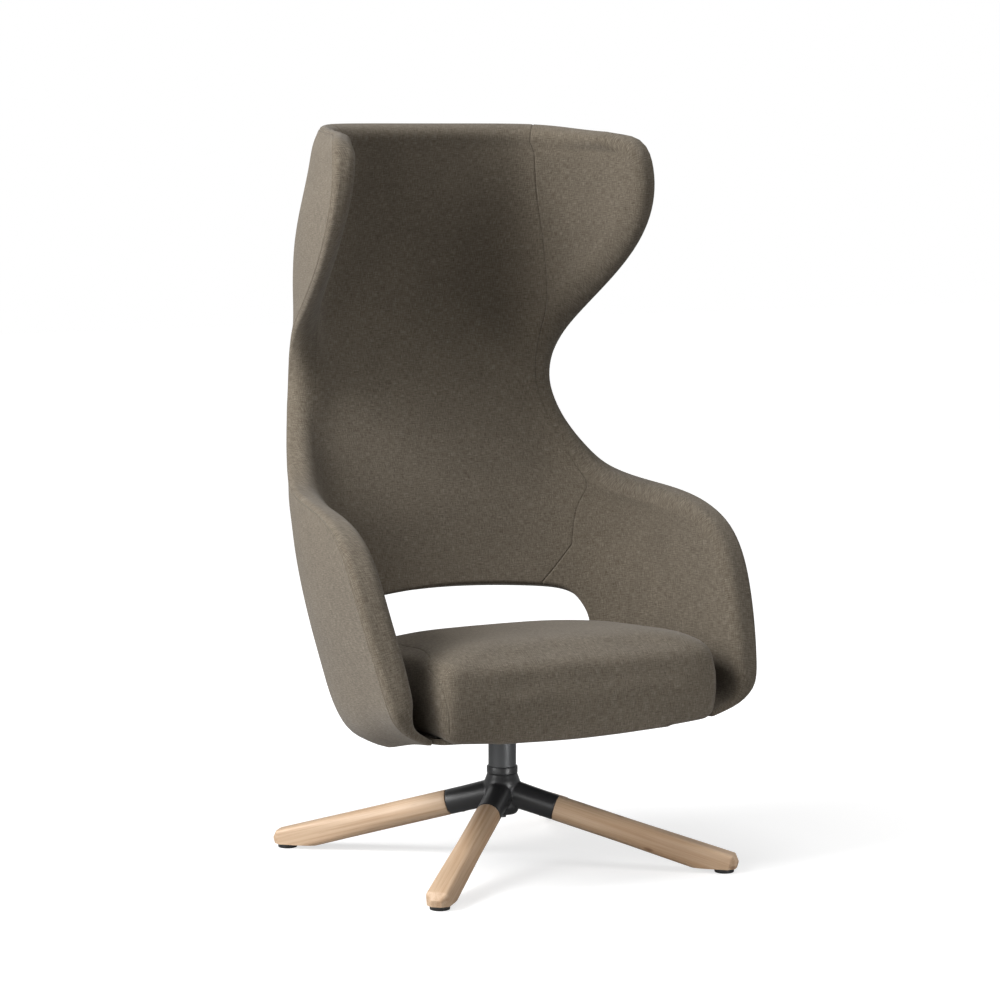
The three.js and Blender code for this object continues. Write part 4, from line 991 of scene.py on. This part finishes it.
def makePan():
    c = pan
    top = c["top"] - c["bottom"]
    edge = [(c["edgeRadius"] * (1 - math.sin(turn)), c["edgeRadius"] * (1 - math.cos(turn)))
            for turn in np.linspace(0, math.pi / 2, 7)]
    rings = []
    for inset, height in ([(c["flatInset"], 0), (c["cover"] + 0.5, 0), (c["cover"], 0)] + edge
                          + [(0, top - 1.5), (0.5, top - 0.4), (2.0, top), (c["flatInset"], top)]):
        ring = panLine(inset)
        rise = (c["rise"] * (ring[:, 0] / c["frontHalf"]) ** 2
                * easeStep(-ring[:, 1], c["riseStart"], c["riseEnd"]))
        z = c["bottom"] + height + np.minimum(rise, top - 3) * (1 - height / top)
        rings.append(np.column_stack([ring, z]))
    points = np.concatenate(rings)
    piece = newPiece("seat_pan_cover", toFrame(points), ringFaces(len(rings), len(rings[0])))
    piece.data.materials.append(finishes["wool"])
    piece.data.materials.append(finishes["felt"])
    # The felt lies on the flat underside, behind the front edge
    for face in piece.data.polygons:
        face.material_index = int(face.normal.z < -0.5 and face.center.z < (c["bottom"] + 2) / 1000
                                  and face.center.y < c["feltRear"] / 1000
                                  and face.area > c["feltArea"] / 1e6)
    sharpenEdges(piece, 50)
    boxClothCoordinates(piece)
    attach(piece, "seat")
    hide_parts("seat_pan")
    return piece


# Column, hub, legs and glides, in millimetres round the column's axis

column = {
    "radius": 25.0, "wall": 3.0, "bottom": 95.3, "top": 245.0, "floorDepth": 12.0, "chamfer": 1.2,
    "sides": 96,
}
collar = {"radius": 27.8, "bore": 25.3, "bottom": 160.0, "top": 172.0}
hub = {
    "voxel": 0.0014, "smooth": 6, "sides": 96, "sleeveRadius": 23.0, "sleeveFlare": 1.2,
    "sleeveBend": 2.6, "sleeveRoot": 24.0, "sleeveReach": 100.0, "rootHeight": 127.7, "slope": 15.5,
    "bore": 25.3, "boreFloor": 95.0, "boreTop": 190,
    "core": [(0.01, 85), (24.5, 85), (27.5, 88), (32, 98), (33, 140), (31.3, 147), (28.6, 154),
             (26.8, 159.7), (0.01, 159.7)],
}
leg = {
    "reach": 430.0, "radius": 23.0, "endWidth": 41.0, "endHeight": 45.0, "tipChamfer": 11.0,
    "roundUntil": 0.25, "squareness": 6.0, "sides": 64, "steps": 40, "floor": 7.8,
}
glide = {
    "radius": 17.5, "height": 7.5, "chamfer": 1.8, "reach": 408.0, "stem": 4.0, "stemTop": 23.5,
    "sides": 64,
}
corners = [("front_left", -1, -1), ("front_right", 1, -1), ("rear_left", -1, 1),
           ("rear_right", 1, 1)]
axisPlace = Vector((0, axisY, 0))


def makeColumn():
    c = column
    bore = c["radius"] - c["wall"]
    line = [(0, c["bottom"]), (c["radius"], c["bottom"]), (c["radius"], c["top"]),
            (bore, c["top"]), (bore, c["top"] - c["floorDepth"]), (0, c["top"] - c["floorDepth"])]
    tube = turnedPiece("column_sleeve", roundCorners(line, c["chamfer"]), c["sides"], axisPlace)
    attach(tube, "base")
    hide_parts("column_tube")
    c = collar
    line = [(c["bore"], c["bottom"]), (c["radius"], c["bottom"]), (c["radius"], c["top"] - 1.0),
            (c["radius"] - 0.4, c["top"] - 0.25), (c["radius"] - 1.1, c["top"]),
            (c["bore"], c["top"]), (c["bore"], c["bottom"])]
    ring = turnedPiece("collar_ring", line, column["sides"], axisPlace)
    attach(ring, "base")
    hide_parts("column_collar")
    return tube, ring


def legMatrix(sideX, sideY):
    # Places a piece drawn along +X from the column's axis on a leg
    lift = Matrix.Translation(axisPlace + Vector((0, 0, hub["rootHeight"] / 1000)))
    turn = Matrix.Rotation(math.atan2(sideY, sideX), 4, "Z")
    return lift @ turn @ Matrix.Rotation(math.radians(hub["slope"]), 4, "Y")


def stationOf(reach):
    return reach / math.cos(math.radians(hub["slope"]))


def sleeveForm(matrix):
    mouth, root = hub["sleeveRadius"], hub["sleeveRadius"] + hub["sleeveFlare"]
    begin, end = stationOf(hub["sleeveRoot"]), stationOf(hub["sleeveReach"])
    line = [(0.01, 0), (root, 0)]
    for share in np.arange(24) / 24:
        radius = mouth + (root - mouth) * (1 - share) ** hub["sleeveBend"]
        line.append((radius, begin + (end - begin) * share))
    line += [(mouth, end - 1.2), (mouth - 0.35, end - 0.35), (mouth - 1.2, end), (0.01, end)]
    spun = [matrix @ Vector((z, y, -x)) for x, y, z in latheRings(line, hub["sides"])]
    return spun, ringFaces(len(line), hub["sides"])


def makeHub():
    # Core and sleeves melted together by a fine remesh, which leaves the cast fillets
    points = [Vector(p) + axisPlace for p in latheRings(hub["core"], hub["sides"])]
    faces = ringFaces(len(hub["core"]), hub["sides"])
    for _, sideX, sideY in corners:
        own, ownFaces = sleeveForm(legMatrix(sideX, sideY))
        start = len(points)
        points += own
        faces += [tuple(k + start for k in face) for face in ownFaces]
    piece = newPiece("hub_cast", points, faces)
    modify(piece, "REMESH", mode="VOXEL", voxel_size=hub["voxel"])
    modify(piece, "SMOOTH", factor=0.5, iterations=hub["smooth"])
    line = [(0, hub["boreFloor"]), (hub["bore"], hub["boreFloor"]), (hub["bore"], hub["boreTop"]),
            (0, hub["boreTop"])]
    bore = turnedPiece("bore", line, hub["sides"], axisPlace)
    modify(piece, "BOOLEAN", operation="DIFFERENCE", object=bore)
    bpy.data.objects.remove(bore)
    piece.data.shade_smooth()
    sharpenEdges(piece, 40)
    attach(piece, "base")
    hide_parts("hub_casting")
    return piece


def legSection(share, station, drawnIn):
    morph = max(share - leg["roundUntil"], 0) / (1 - leg["roundUntil"])
    fullness = 2 + (leg["squareness"] - 2) * morph * morph
    halfWidth = leg["radius"] + (leg["endWidth"] / 2 - leg["radius"]) * morph - drawnIn
    halfHeight = leg["radius"] + (leg["endHeight"] / 2 - leg["radius"]) * morph - drawnIn
    turn = (np.arange(leg["sides"]) + 0.5) * 2 * math.pi / leg["sides"]
    side, up = np.cos(turn), np.sin(turn)
    return np.stack([
        np.full(len(turn), station),
        halfWidth * np.sign(side) * np.abs(side) ** (2 / fullness),
        halfHeight * np.sign(up) * np.abs(up) ** (2 / fullness),
    ], 1)


def makeLeg(place, sideX, sideY):
    start, tip = stationOf(hub["sleeveReach"]) + 0.3, stationOf(leg["reach"])
    chamfer = leg["tipChamfer"]
    last = tip - chamfer
    rings = [legSection(0, start + forward, inward)
             for forward, inward in ((0, 14.0), (0, 1.2), (0.4, 0.35), (1.2, 0))]
    for k in range(1, leg["steps"]):
        rings.append(legSection(k / leg["steps"], start + (last - start) * k / leg["steps"], 0))
    for forward, inward in ((-1.5, 0), (0.3, 0.5), (1.6, 1.6), (chamfer - 1.3, chamfer - 1.4),
                            (chamfer - 0.35, chamfer - 0.3), (chamfer, chamfer + 1.2)):
        rings.append(legSection(1, last + forward, inward))
    points = np.concatenate(rings) / 1000
    piece = newPiece("leg_timber_" + place, points, ringFaces(len(rings), leg["sides"]))
    piece.matrix_world = legMatrix(sideX, sideY)
    # The foot is cut level where it stands on its glide
    back = piece.matrix_world.inverted()
    spot = back @ Vector((0, 0, leg["floor"] / 1000))
    level = (back.to_3x3() @ Vector((0, 0, -1))).normalized()
    with editing(piece.data) as work:
        cut = bmesh.ops.bisect_plane(work, geom=work.verts[:] + work.edges[:] + work.faces[:],
                                     plane_co=spot, plane_no=level, clear_outer=True)
        rim = [e for e in cut["geom_cut"] if isinstance(e, bmesh.types.BMEdge)]
        bmesh.ops.holes_fill(work, edges=rim)
        bmesh.ops.recalc_face_normals(work, faces=work.faces)
    piece.data.shade_smooth()
    sharpenEdges(piece, 24)
    bpy.context.view_layer.update()
    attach(piece, "base")
    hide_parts("leg_" + place)
    return piece


screw = {
    "reach": 0.08, "sides": 40,
    "profile": [(0, -23.5), (3.6, -23.3), (5.3, -22.7), (6, -21.7), (6, -21.5), (3, -21.5),
                (3, 4.5), (0, 4.5)],
}


def makeLegScrew(place, sideX, sideY):
    # A low head, half a millimetre proud of the sleeve's underside
    piece = turnedPiece("sleeve_screw_" + place, screw["profile"], screw["sides"],
                        (screw["reach"], 0, 0))
    piece.data.transform(legMatrix(sideX, sideY))
    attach(piece, "base")
    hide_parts("leg_screw_" + place)
    return piece


def makeGlide(place, sideX, sideY):
    g = glide
    line = [(0, 0), (g["radius"] - g["chamfer"], 0), (g["radius"] - 0.5, 0.5),
            (g["radius"], g["chamfer"]), (g["radius"], g["height"] - 1.0),
            (g["radius"] - 0.3, g["height"] - 0.3), (g["radius"] - 1.0, g["height"]),
            (g["stem"], g["height"]), (g["stem"], g["stemTop"]), (0, g["stemTop"])]
    turn = math.atan2(sideY, sideX)
    spot = axisPlace + Vector((math.cos(turn), math.sin(turn), 0)) * g["reach"] / 1000
    piece = turnedPiece("glide_foot_" + place, line, g["sides"], spot)
    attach(piece, "base")
    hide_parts("glide_" + place)
    return piece


# Shader groups


def newGroup(name, inputs, outputs):
    # Inputs by label: a number, or None for a vector; every output is a number
    group = bpy.data.node_groups.new(name, "ShaderNodeTree")
    for label, value in inputs.items():
        kind = "NodeSocketVector" if value is None else "NodeSocketFloat"
        socket = group.interface.new_socket(label, in_out="INPUT", socket_type=kind)
        if value is not None:
            socket.default_value = value
    for label in outputs:
        group.interface.new_socket(label, in_out="OUTPUT", socket_type="NodeSocketFloat")
    source, sink = (group.nodes.new("NodeGroup" + end) for end in ("Input", "Output"))
    return group, source.outputs, sink


def setInputs(tree, node, inputs):
    # A socket is linked, anything else is the input's value
    for key, value in inputs.items():
        socket = node.inputs[key]
        if isinstance(value, bpy.types.NodeSocket):
            tree.links.new(value, socket)
        else:
            socket.default_value = (*value, 1) if socket.type == "RGBA" else value


def addNode(tree, kind, inputs, **settings):
    node = setAll(tree.nodes.new("ShaderNode" + kind), **settings)
    setInputs(tree, node, inputs)
    return node.outputs


def mathNode(tree, operation, *inputs):
    return addNode(tree, "Math", dict(enumerate(inputs)), operation=operation)[0]


def mapRange(tree, value, fromLow, fromHigh, low, high):
    return addNode(tree, "MapRange", {
        "Value": value, "From Min": fromLow, "From Max": fromHigh, "To Min": low, "To Max": high,
    })[0]


def stretched(tree, vector, stretch):
    return addNode(tree, "Mapping", {"Vector": vector, "Scale": stretch})[0]


def noiseNode(tree, vector, scale, detail, roughness=0.5):
    return addNode(tree, "TexNoise", {
        "Vector": vector, "Scale": scale, "Detail": detail, "Roughness": roughness,
    })["Fac"]


weave = {
    "wander": 90, "wanderReach": 0.8, "weft": (75, 820, 1), "warp": (820, 85, 1), "yarn": 0.37,
    "blend": 900, "blendShare": 0.26, "mottle": 14, "crossings": 0.3, "fuzz": 1.2,
}


def makeWeaveGroup():
    # Plain weave of melange yarn on cloth coordinates in metres
    w = weave
    group, source, sink = newGroup("melange_weave", {
        "Cloth": None, "Body": None, "Threads Per Metre": 700.0,
    }, ("Fleck", "Mottle", "Height"))
    cloth = source["Cloth"]
    split = addNode(group, "SeparateXYZ", {0: cloth})
    wander = mathNode(group, "MULTIPLY", noiseNode(group, cloth, w["wander"], 2), w["wanderReach"])
    waves = []
    for axis in "XY":
        station = mathNode(group, "MULTIPLY", split[axis], source["Threads Per Metre"])
        station = mathNode(group, "ADD", station, wander)
        waves.append(mathNode(group, "SINE", mathNode(group, "MULTIPLY", station, 2 * math.pi)))
    yarns = [noiseNode(group, stretched(group, cloth, w[way]), 1.0, 1) for way in ("weft", "warp")]
    threads = mathNode(group, "MULTIPLY", mathNode(group, "ADD", *yarns), w["yarn"])
    blend = noiseNode(group, source["Body"], w["blend"], 1)
    fleck = mathNode(group, "MULTIPLY_ADD", blend, w["blendShare"], threads)
    over = mathNode(group, "MULTIPLY", mathNode(group, "MULTIPLY", *waves), w["crossings"])
    setInputs(group, sink, {
        "Fleck": fleck, "Mottle": noiseNode(group, cloth, w["mottle"], 3, 0.6),
        "Height": mathNode(group, "MULTIPLY_ADD", fleck, w["fuzz"], over),
    })
    return group


timber = {
    "bend": (3, 14, 14), "band": (3.2, 190, 190), "wide": (2.0, 62, 62), "pores": (22, 700, 700),
    "knots": (9, 20, 20), "knotSize": (0.035, 0.11), "relief": 0.3,
    "shares": (0.5, 0.4, 0.1),  # of band, wide and bend
}


def makeGrainGroup():
    # Long grain, pores and a few small knots along X, in metres
    t = timber
    group, source, sink = newGroup("timber_grain", {"Place": None, "Seed": 0.0},
                                   ("Figure", "Pores", "Knots", "Height"))
    shift = addNode(group, "CombineXYZ", {0: source["Seed"], 1: source["Seed"]})[0]
    place = addNode(group, "VectorMath", {0: source["Place"], 1: shift}, operation="ADD")[0]
    bend, band, wide, pores = (
        noiseNode(group, stretched(group, place, t[key]), 1.0, detail, roughness)
        for key, detail, roughness in (("bend", 2, 0.5), ("band", 4, 0.65), ("wide", 2, 0.5),
                                       ("pores", 3, 0.7)))
    figure = mathNode(group, "MULTIPLY", bend, t["shares"][2])
    figure = mathNode(group, "MULTIPLY_ADD", wide, t["shares"][1], figure)
    cells = addNode(group, "TexVoronoi", {
        "Vector": stretched(group, place, t["knots"]), "Scale": 1.0})
    setInputs(group, sink, {
        "Figure": mathNode(group, "MULTIPLY_ADD", band, t["shares"][0], figure), "Pores": pores,
        "Knots": mapRange(group, cells["Distance"], *t["knotSize"], 1, 0),
        "Height": mathNode(group, "MULTIPLY_ADD", band, t["relief"], pores),
    })
    return group


def makeSurfaceGroup():
    # Fine speckle and slow unevenness of a coated or moulded surface
    group, source, sink = newGroup("coated_surface", {"Place": None, "Grain Scale": 1800.0},
                                   ("Speckle", "Patches", "Height"))
    speckle = noiseNode(group, source["Place"], source["Grain Scale"], 2)
    patches = noiseNode(group, source["Place"], 24, 3, 0.6)
    setInputs(group, sink, {"Speckle": speckle, "Patches": patches, "Height": speckle})
    return group


groups = {"weave": makeWeaveGroup(), "grain": makeGrainGroup(), "surface": makeSurfaceGroup()}


def newMaterial(name):
    material = bpy.data.materials.new(name)
    material.use_nodes = True
    return material, material.node_tree, material.node_tree.nodes["Principled BSDF"]


def placeGroup(tree, key, inputs):
    return addNode(tree, "Group", inputs, node_tree=groups[key])


def objectPlace(tree):
    return addNode(tree, "TexCoord", {})["Object"]


def mixColour(tree, factor, first, second):
    return addNode(tree, "Mix", {0: factor, 6: first, 7: second}, data_type="RGBA")[2]


def bumpFrom(tree, height, strength, distance):
    return addNode(tree, "Bump", {"Height": height, "Strength": strength, "Distance": distance})[0]


wool = {
    "dark": (0.066, 0.051, 0.036), "mid": (0.124, 0.103, 0.077), "pale": (0.205, 0.179, 0.141),
    "fleck": (0.32, 0.68), "mottle": (0.94, 1.05), "threads": 640.0, "bump": 0.05,
    "bumpDistance": 0.0004, "roughness": 0.94, "sheen": 0.12, "sheenRoughness": 0.6,
    "specular": 0.03,
}


def makeWool():
    material, tree, shader = newMaterial("melange_wool")
    cloth = addNode(tree, "UVMap", {}, uv_map="cloth")[0]
    yarn = placeGroup(tree, "weave", {
        "Cloth": cloth, "Body": objectPlace(tree), "Threads Per Metre": wool["threads"]})
    fleck = mapRange(tree, yarn["Fleck"], *wool["fleck"], 0, 1)
    lower = mixColour(tree, mapRange(tree, fleck, 0, 0.5, 0, 1), wool["dark"], wool["mid"])
    colour = mixColour(tree, mapRange(tree, fleck, 0.5, 1, 0, 1), lower, wool["pale"])
    shade = mapRange(tree, yarn["Mottle"], 0.3, 0.7, *wool["mottle"])
    tone = addNode(tree, "VectorMath", {0: colour, "Scale": shade}, operation="SCALE")[0]
    setInputs(tree, shader, {
        "Base Color": tone, "Roughness": wool["roughness"], "Sheen Weight": wool["sheen"],
        "Sheen Roughness": wool["sheenRoughness"], "Specular IOR Level": wool["specular"],
        "Normal": bumpFrom(tree, yarn["Height"], wool["bump"], wool["bumpDistance"]),
    })
    return material


oak = {
    "pale": (0.575, 0.415, 0.28), "warm": (0.42, 0.265, 0.155), "pore": (0.27, 0.155, 0.085),
    "knot": (0.20, 0.10, 0.05), "figure": (0.38, 0.56), "pores": (0.60, 0.78), "poreShare": 0.5,
    "knotShare": 0.75, "roughness": 0.52, "coat": 0.04, "coatRoughness": 0.3, "bump": 0.15,
    "bumpDistance": 0.0002,
}


def makeOak(seed):
    material, tree, shader = newMaterial("oak_lacquered_" + str(seed))
    grain = placeGroup(tree, "grain", {"Seed": seed * 1.37 + 0.21, "Place": objectPlace(tree)})
    figure = mapRange(tree, grain["Figure"], *oak["figure"], 0, 1)
    pores = mapRange(tree, grain["Pores"], *oak["pores"], 0, oak["poreShare"])
    knots = mapRange(tree, grain["Knots"], 0, 1, 0, oak["knotShare"])
    colour = mixColour(tree, figure, oak["warm"], oak["pale"])
    colour = mixColour(tree, pores, colour, oak["pore"])
    rough = oak["roughness"]
    setInputs(tree, shader, {
        "Base Color": mixColour(tree, knots, colour, oak["knot"]),
        "Roughness": mapRange(tree, grain["Pores"], 0.3, 0.8, rough - 0.05, rough + 0.12),
        "Coat Weight": oak["coat"], "Coat Roughness": oak["coatRoughness"],
        "Normal": bumpFrom(tree, grain["Height"], oak["bump"], oak["bumpDistance"]),
    })
    return material


def makeCoated(name, dark, light, roughness, metallic, grainScale=1800.0, bump=0.06):
    material, tree, shader = newMaterial(name)
    surface = placeGroup(tree, "surface", {"Grain Scale": grainScale, "Place": objectPlace(tree)})
    setInputs(tree, shader, {
        "Base Color": mixColour(tree, surface["Speckle"], dark, light),
        "Roughness": mapRange(tree, surface["Patches"], 0.3, 0.7, roughness - 0.04,
                              roughness + 0.05),
        "Metallic": metallic, "Normal": bumpFrom(tree, surface["Height"], bump, coatRelief),
    })
    return material


coatRelief = 0.0002  # metres
# Coatings, metals and plastics: dark, light, roughness, metallic, then grain scale and bump
coatings = {
    "felt": ("black_felt", (0.012, 0.011, 0.009), (0.035, 0.032, 0.028), 0.93, 0, 2600, 0.4),
    "column": ("grey_powder_coat", (0.068, 0.070, 0.072), (0.096, 0.099, 0.103), 0.44, 0.3),
    "hub": ("black_powder_coat", (0.016, 0.016, 0.017), (0.030, 0.030, 0.031), 0.34, 0, 1500),
    "steel": ("frame_steel", (0.10, 0.10, 0.105), (0.16, 0.16, 0.165), 0.45, 0.8),
    "zinc": ("zinc_plated", (0.45, 0.45, 0.46), (0.60, 0.60, 0.61), 0.32, 1.0),
    "bush": ("bush_plastic", (0.62, 0.59, 0.52), (0.70, 0.67, 0.60), 0.5, 0),
    "glide": ("glide_plastic", (0.010, 0.010, 0.010), (0.020, 0.020, 0.020), 0.5, 0, 1200, 0.1),
}

finishes = {"wool": makeWool(), **{key: makeCoated(*values) for key, values in coatings.items()}}
keptNodes = {
    "steel": ["shell_frame", "seat_plate"], "bush": ["upper_bush", "lower_bush"],
    "zinc": ["spindle", "spindle_bolt", "spindle_clip", "thrust_bearing", "hub_washer",
             "rim_screw_rear_left", "rim_screw_side_left", "rim_screw_rear_right",
             "rim_screw_side_right"] + ["plate_bolt_" + place for place, _, _ in corners],
    "hub": ["hub_screw"],
}


def dress(piece, material):
    piece.data.materials.clear()
    piece.data.materials.append(material)


def dressNode(name, material):
    piece = nodes[name]
    for slotOfPiece in piece.material_slots:
        slotOfPiece.material = material
    if not piece.material_slots:
        piece.data.materials.append(material)


# Assembly

for piece in makeUpholstery().values():
    dress(piece, finishes["wool"])
dress(makeCushion(), finishes["wool"])
makePan()
tube, ring = makeColumn()
dress(tube, finishes["column"])
dress(ring, finishes["hub"])
dress(makeHub(), finishes["hub"])
for number, (place, sideX, sideY) in enumerate(corners):
    dress(makeLeg(place, sideX, sideY), makeOak(number + 1))
    dress(makeGlide(place, sideX, sideY), finishes["glide"])
    dress(makeLegScrew(place, sideX, sideY), finishes["hub"])
for finish, names in keptNodes.items():
    for name in names:
        dressNode(name, finishes[finish])
print("base and fittings done")

# Stage and light

# The floor's glow is painted light, dimmer near the chair so that a painted shade lies round it
stage = {
    "size": 30.0, "floor": (0.46, 0.46, 0.46), "roughness": 0.85, "near": 0.45, "far": 1.9,
    "glow": (0.69, 1.0),
}
# Each lamp's turn from the front towards -X and height, both in degrees, its power in watts, its
# size, the height it is aimed at and its spread in degrees
lights = {
    "key": (90, 35, 155.0, 1.6, 0.75, 180), "side": (88, 8, 58.0, 1.6, 0.75, 180),
    "front": (56, 7, 17.0, 1.6, 0.75, 180), "fill": (-45, 35, 42.0, 1.6, 0.75, 180),
    "top": (0, 89, 46.0, 1.6, 0.75, 180), "base": (-12, 3, 0.40, 0.5, 0.08, 12),
}
lampReach = 3.6
world = {"seen": 1.0, "light": 0.02, "reflected": 0.55}


def makeStage():
    half = stage["size"] / 2
    floor = newPiece("floor", [(-half, -half, 0), (half, -half, 0), (half, half, 0),
                               (-half, half, 0)], [(0, 1, 2, 3)], smooth=False)
    material, tree, shader = newMaterial("studio_floor")
    # The floor glows to the camera alone as painted light. The glow is weaker near the chair, which
    # paints a pool of shade round it besides the lamps' own shadows.
    gap = addNode(tree, "VectorMath", {0: objectPlace(tree)}, operation="LENGTH")["Value"]
    glow = mapRange(tree, gap, stage["near"], stage["far"], *stage["glow"])
    seen = addNode(tree, "LightPath", {})["Is Camera Ray"]
    setInputs(tree, shader, {
        "Base Color": stage["floor"], "Roughness": stage["roughness"], "Specular IOR Level": 0.0,
        "Emission Color": (1, 1, 1), "Emission Strength": mathNode(tree, "MULTIPLY", glow, seen),
    })
    floor.data.materials.append(material)


def makeLights():
    for name, (turn, height, power, size, aim, spread) in lights.items():
        lamp = bpy.data.objects.new(name, bpy.data.lights.new(name, "AREA"))
        scene.collection.objects.link(lamp)
        turn, height = math.radians(turn), math.radians(height)
        way = Vector((-math.sin(turn) * math.cos(height), -math.cos(turn) * math.cos(height),
                      math.sin(height)))
        lamp.location = Vector((0, 0, aim)) + lampReach * way
        lamp.rotation_euler = (-way).to_track_quat("-Z", "Y").to_euler()
        setAll(lamp.data, size=size, energy=power, spread=math.radians(spread))


def makeWorld():
    sky = bpy.data.worlds.new("studio")
    scene.world = sky
    sky.use_nodes = True
    tree = sky.node_tree
    path = addNode(tree, "LightPath", {})
    light = mapRange(tree, path["Is Glossy Ray"], 0, 1, world["light"], world["reflected"])
    setInputs(tree, tree.nodes["Background"], {"Color": (1, 1, 1), "Strength": light})
    seen = addNode(tree, "Background", {"Color": (1, 1, 1), "Strength": world["seen"]})[0]
    background = tree.nodes["Background"].outputs[0]
    mix = addNode(tree, "MixShader", {0: path["Is Camera Ray"], 1: background, 2: seen})[0]
    setInputs(tree, tree.nodes["World Output"], {"Surface": mix})


makeStage()
makeLights()
makeWorld()
scene.view_settings.view_transform = "Standard"
print("stage and light done")
